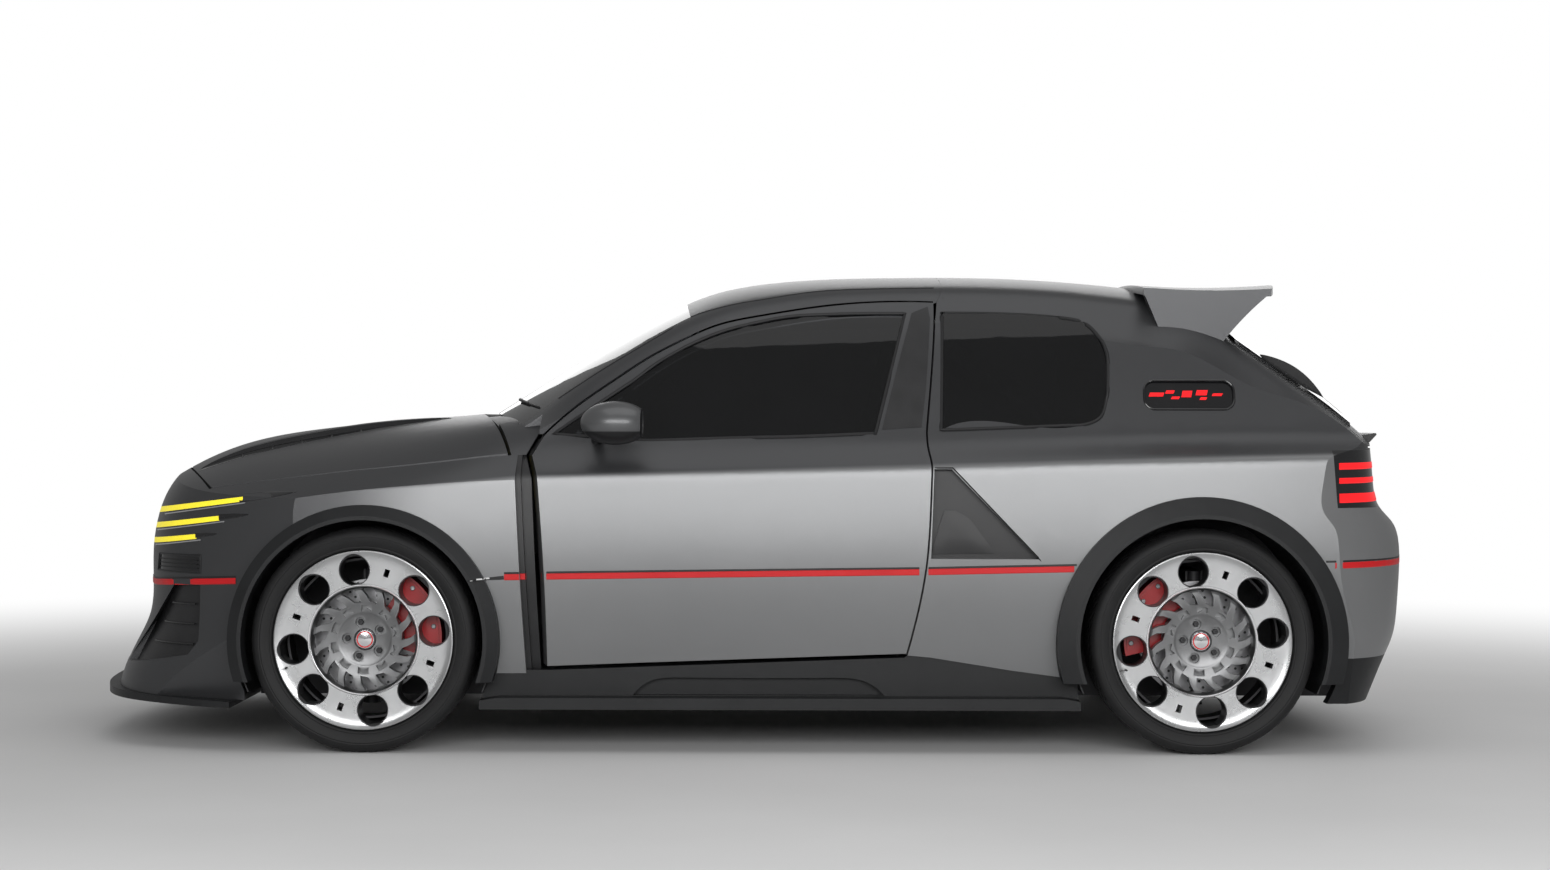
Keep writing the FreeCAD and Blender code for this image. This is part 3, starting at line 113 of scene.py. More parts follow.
def look(name, color, rough=0.5, metallic=0.0, vary=0.08, vary_scale=6.0, rough_vary=0.05,
         grain=0.0, grain_scale=400.0, stretch=(1, 1, 1), coat=0.0, coat_rough=0.08, shine=0.5):
    """Material with drifting colour, drifting roughness and a fine grain."""
    material = bpy.data.materials.new(name)
    material.use_nodes = True
    place = node(material, "TexCoord").outputs["Object"]
    spread = node(material, "Mapping", {"Vector": place, "Scale": stretch}).outputs["Vector"]
    cloud = node(material, "TexNoise", {"Vector": spread, "Scale": vary_scale, "Detail": 5.0})
    tint = node(material, "ValToRGB", {"Fac": cloud.outputs["Fac"]})
    for stop, position, share in zip(tint.color_ramp.elements, (0.3, 0.7), (1 - vary, 1 + vary)):
        stop.position = position
        stop.color = (*[min(c * share, 1) for c in color], 1)
    polish = node(material, "MapRange", {"Value": cloud.outputs["Fac"],
                                         "To Min": max(rough - rough_vary, 0.02),
                                         "To Max": min(rough + rough_vary, 1.0)})
    connect(material, shader_of(material), {
        "Base Color": tint.outputs["Color"], "Roughness": polish.outputs["Result"],
        "Metallic": metallic, "Specular IOR Level": shine, "Coat Weight": coat,
        "Coat Roughness": coat_rough})
    if grain:
        speck = node(material, "TexNoise", {"Vector": spread, "Scale": grain_scale, "Detail": 2.0})
        raised(material, speck.outputs["Fac"], grain, 0.001)
    return material


def raised(material, height, strength, distance):
    relief = node(material, "Bump", {"Height": height, "Strength": strength, "Distance": distance})
    connect(material, shader_of(material), {"Normal": relief.outputs["Normal"]})


def tinted(name, color):
    """Dark glass that still lets some light through."""
    material = look(name, color, 0.03, vary=0.1, rough_vary=0.01)
    connect(material, shader_of(material), {"Transmission Weight": 0.85, "IOR": 1.45})
    return material


def glowing(name, color, strength):
    material = look(name, color, 0.3, vary=0.06, vary_scale=60)
    connect(material, shader_of(material), {"Emission Color": (*color, 1), "Emission Strength": strength})
    return material


def two_tone(name, upper, lower, height):
    """Paint above a height, plain black plastic below it."""
    material = look(name, upper, 0.35, metallic=0.5, coat=0.2)
    step = node(material, "MapRange", {"Value": place_on(material)["Z"], "From Min": height - 0.002,
                                       "From Max": height + 0.002})
    blend_color(material, step.outputs["Result"], (*lower, 1), found(material, "VALTORGB").outputs["Color"])
    return material


CREASE = ((0.030, 0.851), (0.0967, 0.898))  # slope and height of the lines that the crease follows; above them the paint is darkened as painted shade
NOSE_SHADE = (-0.92, -1.28)  # where painted shade darkens the paint toward the nose


def body_paint(name, side_color, shade_color):
    """Satin paint with painted shade: darker above the crease that runs from the nose to the tail lamps,
    and darker toward the nose.
    """
    material = look(name, side_color, 0.36, metallic=0.55, vary=0.03, vary_scale=2.0, rough_vary=0.03,
                    grain=0.1, grain_scale=2500, coat=0.12, coat_rough=0.25)
    place = place_on(material)
    crease = compute(material, "MINIMUM", *[compute(material, "MULTIPLY_ADD", place["X"], slope, height)
                                            for slope, height in CREASE])
    above = compute(material, "SUBTRACT", place["Z"], crease)
    # Painted shade: the paint turns to the shade colour above the crease and toward the nose.
    dark = compute(material, "MAXIMUM", soft_step(material, above, -0.004, 0.014),
                   soft_step(material, place["X"], *NOSE_SHADE))
    blend_color(material, dark, found(material, "VALTORGB").outputs["Color"], (*shade_color, 1))
    return material


def woven(name, color, scale=500.0):
    """Fabric with crossing threads and a soft sheen."""
    material = look(name, color, 0.85, vary=0.15, vary_scale=14, rough_vary=0.08)
    place = found(material, "TEX_COORD").outputs["Object"]
    threads = [node(material, "TexWave", {"Vector": place, "Scale": scale}, bands_direction=direction)
               for direction in ("X", "Z")]
    crossing = compute(material, "MULTIPLY", *[thread.outputs["Fac"] for thread in threads])
    connect(material, shader_of(material), {"Sheen Weight": 0.25})
    raised(material, crossing, 0.5, 0.0008)
    return material


# The body paint carries painted shade above the crease and toward the nose.
PAINT = body_paint("satin_grey_paint_with_painted_shade", (0.23, 0.233, 0.237), (0.062, 0.063, 0.066))
# Plain paint in the darker tone that the body paint uses as painted shade above its crease.
SHADE_TONE_PAINT = look("shade_tone_grey_paint", (0.062, 0.063, 0.066), 0.36, metallic=0.55, vary=0.05, coat=0.12,
                  coat_rough=0.25)
TRIM = look("grained_trim", (0.012, 0.0125, 0.0135), 0.44, vary=0.15, vary_scale=9, grain=0.3,
            grain_scale=1500, shine=0.32)
BLACK = look("gloss_black", (0.006, 0.006, 0.007), 0.14, vary=0.2, vary_scale=12, coat=0.4)
SATIN_BLACK = look("satin_black", (0.011, 0.011, 0.012), 0.42, vary=0.2, vary_scale=20, grain=0.15,
                   grain_scale=1800)
GLASS = tinted("dark_glass", (0.022, 0.023, 0.025))
RUBBER = look("tyre_rubber", (0.010, 0.010, 0.0105), 0.6, vary=0.2, vary_scale=25, rough_vary=0.1,
              grain=0.5, grain_scale=900, shine=0.35)
SEAL = look("rubber_seal", (0.008, 0.008, 0.009), 0.6, vary=0.2, vary_scale=40)
ALLOY = look("machined_alloy", (0.56, 0.565, 0.57), 0.28, metallic=0.95, vary=0.05, vary_scale=16,
             rough_vary=0.05, grain=0.12, grain_scale=700)
GREY_ALLOY = look("centre_alloy", (0.2, 0.202, 0.205), 0.34, metallic=0.9, vary=0.1, vary_scale=24,
                  rough_vary=0.06, grain=0.12, grain_scale=700)
# Dark alloy for the wheel nuts, and painted shade on the rims' backs, barrels and hole sleeves.
DARK_ALLOY_AND_SHADE = look("dark_alloy_and_painted_shade", (0.05, 0.05, 0.052), 0.4, metallic=0.8, vary=0.1, vary_scale=30)
DISC_IRON = look("ground_iron", (0.36, 0.36, 0.37), 0.3, metallic=0.9, vary=0.12, vary_scale=40,
                 grain=0.4, grain_scale=600, stretch=(1, 0.2, 1))
RED_PAINT = look("red_caliper", (0.42, 0.006, 0.010), 0.32, vary=0.08, vary_scale=30, coat=0.4)
STRIPE = look("red_stripe", (0.60, 0.004, 0.008), 0.4, vary=0.04, vary_scale=10)
STEEL = look("bare_steel", (0.3, 0.31, 0.32), 0.38, metallic=0.85, vary=0.15, vary_scale=20, grain=0.3)
STRUCTURE = look("dark_structure", (0.03, 0.03, 0.033), 0.55, vary=0.2, vary_scale=10, grain=0.2)
YELLOW = glowing("yellow_light", (0.85, 0.72, 0.03), 0.55)
RED_LIGHT = glowing("red_light", (0.8, 0.008, 0.012), 0.7)
CHROME = look("bright_metal", (0.75, 0.75, 0.76), 0.12, metallic=1.0, vary=0.05, vary_scale=30)
MIRROR = look("mirror_silver", (0.8, 0.81, 0.83), 0.03, metallic=1.0, vary=0.02, rough_vary=0.01)
SUEDE = look("black_suede", (0.014, 0.014, 0.015), 0.9, vary=0.25, vary_scale=50, grain=0.6,
             grain_scale=1200)
FABRIC = woven("seat_weave", (0.035, 0.035, 0.04))
CARBON = woven("woven_shell", (0.02, 0.02, 0.022), 260)
STRAP = woven("belt_webbing", (0.25, 0.012, 0.016), 700)
WHITE_MARK = look("white_mark", (0.7, 0.7, 0.7), 0.4, vary=0.05)
MIRROR_CAP = two_tone("mirror_two_tone", (0.11, 0.112, 0.115), (0.012, 0.012, 0.013), 0.975)

NODE_LOOKS = {
    PAINT: ("front_bumper", "front_fenders", "bonnet", "door_left", "door_right", "roof_frame",
            "rear_body", "rear_bumper", "tailgate", "roof_wing"),
    TRIM: ("front_splitter", "side_skirts", "wheel_flares", "rear_diffuser"),
    SATIN_BLACK: ("side_vents", "cowl", "front_grille", "arch_liners"),
    BLACK: ("tail_lamps",),
    GLASS: ("windscreen", "door_glass_left", "door_glass_right", "quarter_glass", "tailgate_glass"),
    YELLOW: ("headlamps",),
    STRUCTURE: ("floor_pan", "bumper_beams", "roll_cage", "front_suspension", "rear_suspension"),
    STEEL: ("engine_block", "exhaust", "knuckle_left", "knuckle_right"),
    DISC_IRON: ("brake_disc_front_left", "brake_disc_front_right", "brake_disc_rear_left",
                "brake_disc_rear_right"),
    RED_PAINT: ("caliper_front_left", "caliper_front_right", "calipers_rear"),
    SUEDE: ("dashboard", "steering_wheel"),
    MIRROR_CAP: ("mirror_left", "mirror_right"),
}
for material, names in NODE_LOOKS.items():
    for name in names:
        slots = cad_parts[name].data.materials
        for i in range(len(slots)):
            slots[i] = material
        if not len(slots):
            slots.append(material)


# Making meshes

def outward(mesh):
    """Turns all faces of a mesh outward."""
    work = bmesh.new()
    work.from_mesh(mesh)
    bmesh.ops.recalc_face_normals(work, faces=work.faces)
    work.to_mesh(mesh)
    work.free()
    return mesh


def raw_mesh(name, verts, faces):
    mesh = bpy.data.meshes.new(name)
    mesh.from_pydata([tuple(v) for v in verts], [], faces)
    return mesh


def loft(rings, closed=False, caps=True):
    """Corners and faces of a skin over rings of points; closed joins the last ring to the first."""
    count, rows = len(rings[0]), len(rings)
    faces = []
    for i in range(rows if closed else rows - 1):
        for j in range(count):
            k, n = (j + 1) % count, (i + 1) % rows * count
            faces.append((i * count + j, i * count + k, n + k, n + j))
    if caps and not closed:
        faces += [tuple(reversed(range(count))), tuple(range((rows - 1) * count, rows * count))]
    return [p for ring in rings for p in ring], faces


def one_mesh(name, parts):
    """One mesh of several (corners, faces) parts."""
    verts, faces = [], []
    for part_verts, part_faces in parts:
        base = len(verts)
        verts += part_verts
        faces += [tuple(base + i for i in face) for face in part_faces]
    return outward(raw_mesh(name, verts, faces))


def piece(name, part, body, material, slot, sharp=32):
    """New smooth shaded mesh, from its corners and faces, that rides on a body."""
    return piece_from(name, raw_mesh(name, *part), body, material, slot, sharp)


def piece_from(name, mesh, body, material, slot, sharp=32):
    mesh.validate()
    outward(mesh)
    mesh.polygons.foreach_set("use_smooth", [True] * len(mesh.polygons))
    mesh.set_sharp_from_angle(angle=math.radians(sharp))
    mesh.materials.clear()
    mesh.materials.append(material)
    item = bpy.data.objects.new(name, mesh)
    bpy.context.collection.objects.link(item)
    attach(item, body)
    return item


def surface(*names):
    """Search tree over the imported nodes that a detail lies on."""
    verts, faces = [], []
    for name in names:
        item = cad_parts[name]
        base = len(verts)
        verts += [item.matrix_world @ v.co for v in item.data.vertices]
        faces += [[base + i for i in p.vertices] for p in item.data.polygons]
    return BVHTree.FromPolygons(verts, faces)


def finder(tree, start, way, reach):
    """Finder: two numbers to the first point met on the way, with the direction back outward."""
    way = Vector(way)

    def find(a, b):
        hit = tree.ray_cast(Vector(start(a, b)), way, reach)
        return (hit[0], -way) if hit[0] else None
    return find


def from_side(tree, side):
    return finder(tree, lambda x, z: (x, side * 1.4, z), (0, -side, 0), 1.3)


def from_above(tree):
    return finder(tree, lambda x, y: (x, y, 2.2), (0, 0, -1), 2.2)


def from_ahead(tree):
    return finder(tree, lambda y, z: (-2.8, y, z), (1, 0, 0), 2.0)


def from_behind(tree):
    return finder(tree, lambda y, z: (2.8, y, z), (-1, 0, 0), 2.0)


def around(tree, centre_x, centre_y, side, forward):
    """Finder for a corner: the angle turns from the side of the car to its nose or tail."""
    def find(angle, z):
        out = Vector((forward * math.sin(angle), side * math.cos(angle), 0))
        start = Vector((centre_x, centre_y, z)) + out * 1.5
        hit = tree.ray_cast(start, -out, 1.5)
        return (hit[0], out) if hit[0] else None
    return find


BAND_SECTION = ((-0.5, -1.0), (-0.5, 0.3), (-0.38, 1.0), (0.38, 1.0), (0.5, 0.3), (0.5, -1.0))


def over(new, old, bridge):
    """The new point, brought out level with the old one where it falls into an opening."""
    drop = (old[0] - new[0]).dot(new[1])
    return (new[0] + new[1] * drop, new[1]) if drop > bridge else new


def band(name, find, path, width, lift, body, material, slot, sink=0.003, taper=None, bridge=0.0):
    """Low strip along a path on a surface; it keeps its depth over openings deeper than bridge."""
    runs, run = [], []
    for i, (u, v) in enumerate(path):
        u0, v0 = path[max(i - 1, 0)]
        u1, v1 = path[min(i + 1, len(path) - 1)]
        along = Vector((u1 - u0, v1 - v0)).normalized()
        wide = width * (taper(i / (len(path) - 1)) if taper else 1)
        cross = Vector((-along.y, along.x)) * wide / 2
        low, high = find(u - cross.x, v - cross.y), find(u + cross.x, v + cross.y)
        if bridge and low and high and run:
            low, high = [over(new, old, bridge) for new, old in zip((low, high), run[-1])]
        if low and high:
            run.append((low, high))
        elif run and not bridge:
            runs.append(run)
            run = []
    runs.append(run)
    parts = []
    for run in runs:
        if len(run) < 2:
            continue
        rings = []
        for (low, out_low), (high, out_high) in run:
            ring = []
            for share, height in BAND_SECTION:
                t = share + 0.5
                out = out_low.lerp(out_high, t).normalized()
                ring.append(low.lerp(high, t) + out * (lift * height if height > 0 else -sink))
            rings.append(ring)
        parts.append(loft(rings))
    return piece_from(name, one_mesh(name, parts), body, material, slot) if parts else None


def inside(point, outline):
    x, y = point
    odd = False
    for (x0, y0), (x1, y1) in zip(outline, outline[1:] + outline[:1]):
        if (y0 > y) != (y1 > y) and x < (x1 - x0) * (y - y0) / (y1 - y0) + x0:
            odd = not odd
    return odd


def split_edges(outline, step):
    points = []
    for (x0, y0), (x1, y1) in zip(outline, outline[1:] + outline[:1]):
        count = max(1, round(math.hypot(x1 - x0, y1 - y0) / step))
        points += [(x0 + (x1 - x0) * i / count, y0 + (y1 - y0) * i / count) for i in range(count)]
    return points


def patch(name, find, outline, lift, body, material, slot, sink=0.004, step=0.02, crown=0.0):
    """Plate that follows a surface inside an outline, with its edges turned down."""
    rim = split_edges(outline, step)
    xs, ys = [p[0] for p in rim], [p[1] for p in rim]
    grid = []
    x = min(xs) + step
    while x < max(xs):
        y = min(ys) + step
        while y < max(ys):
            near = min(math.hypot(x - a, y - b) for a, b in rim)
            if near > step * 0.6 and inside((x, y), rim):
                grid.append((x, y))
            y += step
        x += step
    flat = [Vector(p) for p in rim + grid]
    spots, _, triangles, *_ = geometry.delaunay_2d_cdt(flat, [], [list(range(len(rim)))], 1, 1e-7)
    top = []
    for spot in spots:
        tries = [find(spot.x + dx, spot.y + dy)
                 for dx, dy in ((0, 0), (.01, 0), (-.01, 0), (0, .01), (0, -.01))]
        hit = next((h for h in tries if h), None)
        if hit is None:
            return None
        edge = min(math.hypot(spot.x - a, spot.y - b) for a, b in rim)
        rise = lift + crown * min(edge / (step * 2), 1)
        top.append((hit[0] + hit[1] * rise, hit[0] - hit[1] * sink))
    count = len(spots)
    verts = [a for a, _ in top] + [b for _, b in top]
    faces = [tuple(t) for t in triangles] + [tuple(count + i for i in reversed(t)) for t in triangles]
    edges = {}
    for t in triangles:
        for a, b in zip(t, t[1:] + t[:1]):
            edges[(a, b)] = edges.get((a, b), 0) + 1
    for a, b in edges:
        if (b, a) not in edges:
            faces.append((b, a, count + a, count + b))
    return piece(name, (verts, faces), body, material, slot, sharp=40)


def tube(name, points, radius, body, material, slot, sides=10, closed=False, radii=None):
    """Round bar along points, with capped ends unless it is closed."""
    points = [Vector(p) for p in points]
    rings, normal = [], None
    count = len(points)
    for i, point in enumerate(points):
        before = points[i - 1] if i or closed else point
        after = points[(i + 1) % count] if i < count - 1 or closed else point
        along = (after - before).normalized()
        if normal is None:
            helper = Vector((0, 0, 1)) if abs(along.z) < 0.9 else Vector((1, 0, 0))
            normal = along.cross(helper).normalized()
        normal = (normal - along * normal.dot(along)).normalized()
        other = along.cross(normal)
        size = radii[i] if radii else radius
        turns = [math.tau * j / sides for j in range(sides)]
        rings.append([point + (normal * math.cos(a) + other * math.sin(a)) * size for a in turns])
    return piece(name, loft(rings, closed), body, material, slot)


def curve(points, count):
    """Smooth row of points through a few given ones."""
    points = [Vector(p) for p in points]
    row = []
    spans = len(points) - 1
    for k in range(count):
        t = k / (count - 1) * spans
        i = min(int(t), spans - 1)
        f = t - i
        p0, p1 = points[max(i - 1, 0)], points[i]
        p2, p3 = points[i + 1], points[min(i + 2, spans)]
        row.append(0.5 * ((2 * p1) + (p2 - p0) * f + (2 * p0 - 5 * p1 + 4 * p2 - p3) * f * f
                          + (3 * p1 - p0 - 3 * p2 + p3) * f ** 3))
    return row


def mm(points):
    """Points given in millimetres, as metres."""
    return [tuple(c / 1000 for c in p) for p in points]


def lying(find, path, shift=(0, 0, 0)):
    """Points where a path meets the surface, moved by shift."""
    hits = [find(a, b) for a, b in path]
    return [hit[0] + Vector(shift) for hit in hits if hit]


def ring_round(x, y, z, r, count):
    """Ring of points round a line along the X axis."""
    turns = [math.tau * k / count for k in range(count)]
    return [(x, y + r * math.cos(a), z + r * math.sin(a)) for a in turns]


def sign(value):
    return (value > 1e-6) - (value < -1e-6)


def smooth_path(points, count):
    return [(p.x, p.y) for p in curve([(a, b, 0) for a, b in mm(points)], count)]


# Camera, light and floor

def pale_floor():
    """Matt floor that turns into the white background far from the car."""
    material = look("pale_floor", (0.72, 0.72, 0.72), 0.75, vary=0.03, vary_scale=0.8, grain=0.2,
                    grain_scale=60)
    place = found(material, "TEX_COORD").outputs["Object"]
    reach = node(material, "VectorMath", {0: place}, operation="LENGTH").outputs["Value"]
    rays = node(material, "LightPath").outputs
    seen = compute(material, "MAXIMUM", rays["Is Camera Ray"], rays["Is Transmission Ray"])
    share = compute(material, "MULTIPLY", soft_step(material, reach, 2.6, 7.0), seen)
    white = node(material, "Emission")
    mix = node(material, "MixShader", {"Fac": share, 1: shader_of(material).outputs["BSDF"],
                                       2: white.outputs["Emission"]})
    connect(material, found(material, "OUTPUT_MATERIAL"), {"Surface": mix.outputs["Shader"]})
    return material


PHOTO_WIDTH = 1550  # pixels
FOCAL = 2486  # pixels
EYE = (0.0815, -8.415, 1.007)
AREA_LIGHTS = (("key_low", (0.6, -6.8, 2.2), (0.2, 0, 0.5), (8, 2.0), 270),
               ("fill_top", (0.5, -1.5, 5.5), (0, 0, 0.5), (6, 4), 60),
               ("back_side", (1.0, 6.5, 3.0), (0, 0, 0.6), (7, 3), 110))
FLOOR_REACH = 60


def set_camera(scene):
    camera = bpy.data.objects.new("photo_camera", bpy.data.cameras.new("photo_camera"))
    camera.data.sensor_width = 36.0
    camera.data.lens = camera.data.sensor_width * FOCAL / PHOTO_WIDTH
    camera.data.clip_end = 100
    turn = Matrix.Rotation(math.radians(90 - 0.32), 4, "X") @ Matrix.Rotation(math.radians(0.14), 4, "Z")
    camera.matrix_world = Matrix.Translation(EYE) @ turn
    scene.collection.objects.link(camera)
    scene.camera = camera


def set_lights(scene):
    world = bpy.data.worlds.new("soft_world")
    scene.world = world
    world.use_nodes = True
    rays = node(world, "LightPath").outputs
    seen = compute(world, "MAXIMUM", rays["Is Camera Ray"], rays["Is Transmission Ray"])
    level = node(world, "MapRange", {"Value": seen, "To Min": 0.30, "To Max": 1.0})
    connect(world, world.node_tree.nodes["Background"], {"Strength": level.outputs["Result"],
                                                         "Color": (1, 1, 1, 1)})
    for name, place, aim, size, power in AREA_LIGHTS:
        light = bpy.data.lights.new(name, "AREA")
        light.shape = "RECTANGLE"
        light.size, light.size_y = size
        light.energy = power
        lamp = bpy.data.objects.new(name, light)
        lamp.location = place
        lamp.rotation_euler = (Vector(aim) - Vector(place)).to_track_quat("-Z", "Y").to_euler()
        scene.collection.objects.link(lamp)


def set_stage():
    scene = bpy.context.scene
    scene.view_settings.view_transform = "Standard"
    set_camera(scene)
    set_lights(scene)
    r = FLOOR_REACH
    ground = raw_mesh("floor", [(-r, -r, 0), (r, -r, 0), (r, r, 0), (-r, r, 0)], [(0, 1, 2, 3)])
    ground.materials.append(pale_floor())
    floor = bpy.data.objects.new("floor", ground)
    scene.collection.objects.link(floor)
    floor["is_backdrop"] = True


set_stage()


# Wheels, with lengths in millimetres

RIM_PROFILE = ((106, 265), (107.5, 268), (106.5, 271), (103, 271.8), (99, 271), (98.3, 268),
               (98.3, 255), (92, 253.8), (62, 253.8), (48, 246), (-60, 246), (-90, 253.8),
               (-98.3, 255), (-98.3, 266), (-103, 267.8), (-106, 266), (-107, 262), (-104, 257),
               (-96, 246), (-62, 240), (44, 239), (62, 238), (64, 228), (62, 200), (50, 170),
               (44, 160), (43, 92), (40, 84), (40, 31), (68, 31), (71, 34), (71, 76), (73, 80),
               (74, 84), (74, 108), (76, 114), (76, 150), (80, 156), (90, 160), (95, 162.5),
               (97, 166), (97.2, 171), (98, 200), (100, 240), (101, 252), (103, 260))
TYRE_SIDE = ((98.6, 255), (98.8, 262), (99.5, 272.8), (104, 274.6), (108, 276), (113, 278),
             (114.5, 281), (113.5, 284), (115.5, 288), (119, 296), (121.6, 304), (122.4, 309),
             (121, 312), (121.6, 315), (120, 320), (118, 325), (114.5, 330), (109, 334.4),
             (102, 337.8), (95, 339.8))


def wheel_point(v, r, angle):
    """Point of a left wheel around its own centre, v outward, lengths in millimetres."""
    return Vector((r * math.cos(angle), -v, r * math.sin(angle))) / 1000


def lathe_mesh(name, profile, segments, shape=None):
    """Closed (v, r) profile turned round the wheel's axis; shape may move each corner."""
    rings = []
    for k in range(segments):
        turned = [shape(v, r, k) for v, r in profile] if shape else profile
        rings.append([wheel_point(v, r, math.tau * k / segments) for v, r in turned])
    return raw_mesh(name, *loft(rings, closed=True))


def prism_parts(outline, v_low, v_high):
    """Corners and faces of a block cut along the wheel's axis from an (r, angle) outline."""
    return loft([[wheel_point(v, r, math.radians(a)) for r, a in outline] for v in (v_low, v_high)])


def round_parts(r, angle, rings, segments=40, closed=False):
    """Stepped round solid: rings are (v, radius) around a centre at r and angle."""
    angle = math.radians(angle)
    centre = Vector((r * math.cos(angle), 0, r * math.sin(angle))) / 1000
    turns = [math.tau * k / segments for k in range(segments)]
    return loft([[centre + Vector((radius * math.cos(a), -v, radius * math.sin(a))) / 1000 for a in turns]
                 for v, radius in rings], closed)


def cut_mesh(base, tool):
    """Base mesh with the tool mesh taken out of it, and its new edges rounded."""
    scene = bpy.context.scene
    body = bpy.data.objects.new("cut_body", base)
    knife = bpy.data.objects.new("cut_tool", tool)
    scene.collection.objects.link(body)
    scene.collection.objects.link(knife)
    cut = body.modifiers.new("cut", "BOOLEAN")
    cut.object = knife
    cut.operation = "DIFFERENCE"
    cut.solver = "EXACT"
    edge = body.modifiers.new("edge", "BEVEL")
    edge.width = 0.0012
    edge.segments = 2
    edge.angle_limit = math.radians(40)
    graph = bpy.context.evaluated_depsgraph_get()
    result = bpy.data.meshes.new_from_object(body.evaluated_get(graph))
    bpy.data.objects.remove(body)
    bpy.data.objects.remove(knife)
    return result


QUARTERS = (71, 161, 251, 341)  # angles of the four rectangular windows
HOLE_ANGLES = [base + turn for base in QUARTERS for turn in (-26.5, 26.5)]
NUT_ANGLES = [105 + 72 * k for k in range(5)]
CENTRE_RADIUS = 162.5


def rim_mesh():
    """Turned rim with its holes, windows and nut seats cut out."""
    base = outward(lathe_mesh("rim_lathe", RIM_PROFILE, 144))
    cutters = []
    for angle in HOLE_ANGLES:
        cutters.append(round_parts(213, angle, ((20, 46.5), (90, 46.5), (99, 47.5), (112, 54)), 48))
    for a in QUARTERS:
        cutters.append(prism_parts([(202, a - 2.2), (202, a + 2.2), (226, a + 2.0), (226, a - 2.0)],
                                   20, 120))
    for k in range(15):
        a = 24 * k + 4
        cutters.append(prism_parts([(112, a - 5), (116, a + 7), (135, a + 12.5), (154, a + 18.5),
                                    (158, a + 12), (157, a + 3), (138, a - 2)], 20, 120))
    for k in range(10):
        a = 36 * k + 15
        cutters.append(prism_parts([(87, a - 10), (104, a - 9), (106, a), (104, a + 9), (87, a + 10),
                                    (95, a)], 58, 120))
    for angle in NUT_ANGLES:
        cutters.append(round_parts(54, angle, ((30, 8), (56, 8), (56.01, 15.5), (120, 16.5)), 28))
    return cut_mesh(base, one_mesh("rim_cutters", cutters))


def rim_parts(whole):
    """The bright outer rim, the darker centre, and the back and barrel, which carry painted shade."""
    def group(face):
        middle = face.calc_center_median() * 1000
        r, v = math.hypot(middle.x, middle.z), -middle.y
        if v < (66 if r > CENTRE_RADIUS else 50):
            return "back"
        return "front" if r > CENTRE_RADIUS else "centre"
    meshes = []
    for wanted in ("front", "centre", "back"):
        part = bmesh.new()
        part.from_mesh(whole)
        bmesh.ops.delete(part, geom=[f for f in part.faces if group(f) != wanted], context="FACES")
        mesh = bpy.data.meshes.new(f"rim_{wanted}")
        part.to_mesh(mesh)
        part.free()
        meshes.append(mesh)
    return meshes


TREAD_PITCHES = 64
TREAD_STEPS = 5


def tyre_mesh():
    """Tyre with four grooves round it and slanting cuts across its tread."""
    crown = []
    v = 90.0
    while v >= -90.0:
        crown.append((v, 341 - 1.3 * (v / 92) ** 2))
        v -= 4.0
    profile = list(TYRE_SIDE) + crown + [(-v, r) for v, r in reversed(TYRE_SIDE)]

    def tread(v, r, k):
        if abs(v) > 98 or r < 339:
            return v, r
        if min(abs(abs(v) - 26), abs(abs(v) - 62)) < 3.5:
            return v, r - 7
        lean = k + abs(v) * 0.09
        if int(lean) % TREAD_STEPS == 0 and abs(v) > 8:
            return v, r - 6
        return v, r
    return lathe_mesh("tyre", profile, TREAD_PITCHES * TREAD_STEPS, tread)


def nut_parts(r, angle, v_low, v_high, size):
    """Six-sided nut with a dished end."""
    return round_parts(r, angle, ((v_low, size), (v_high - 1.5, size), (v_high, size - 1.8),
                                  (v_high, size * 0.45), (v_high - 4, size * 0.4)), 6)


def on_wheel(name, source, axle, side_name, side, material, slot, sharp=32, body=None):
    """Copy of a left wheel's mesh at its place on the car."""
    mesh = source.copy()
    mesh.name = name
    for vertex in mesh.vertices:
        x, y, z = vertex.co
        vertex.co = (x + AXLE_X[axle], side * (WHEEL_Y - y), z + AXLE_Z)
    if side == RIGHT:
        mesh.flip_normals()
    return piece_from(name, mesh, body or f"wheel_{axle}_{side_name}", material, slot, sharp)


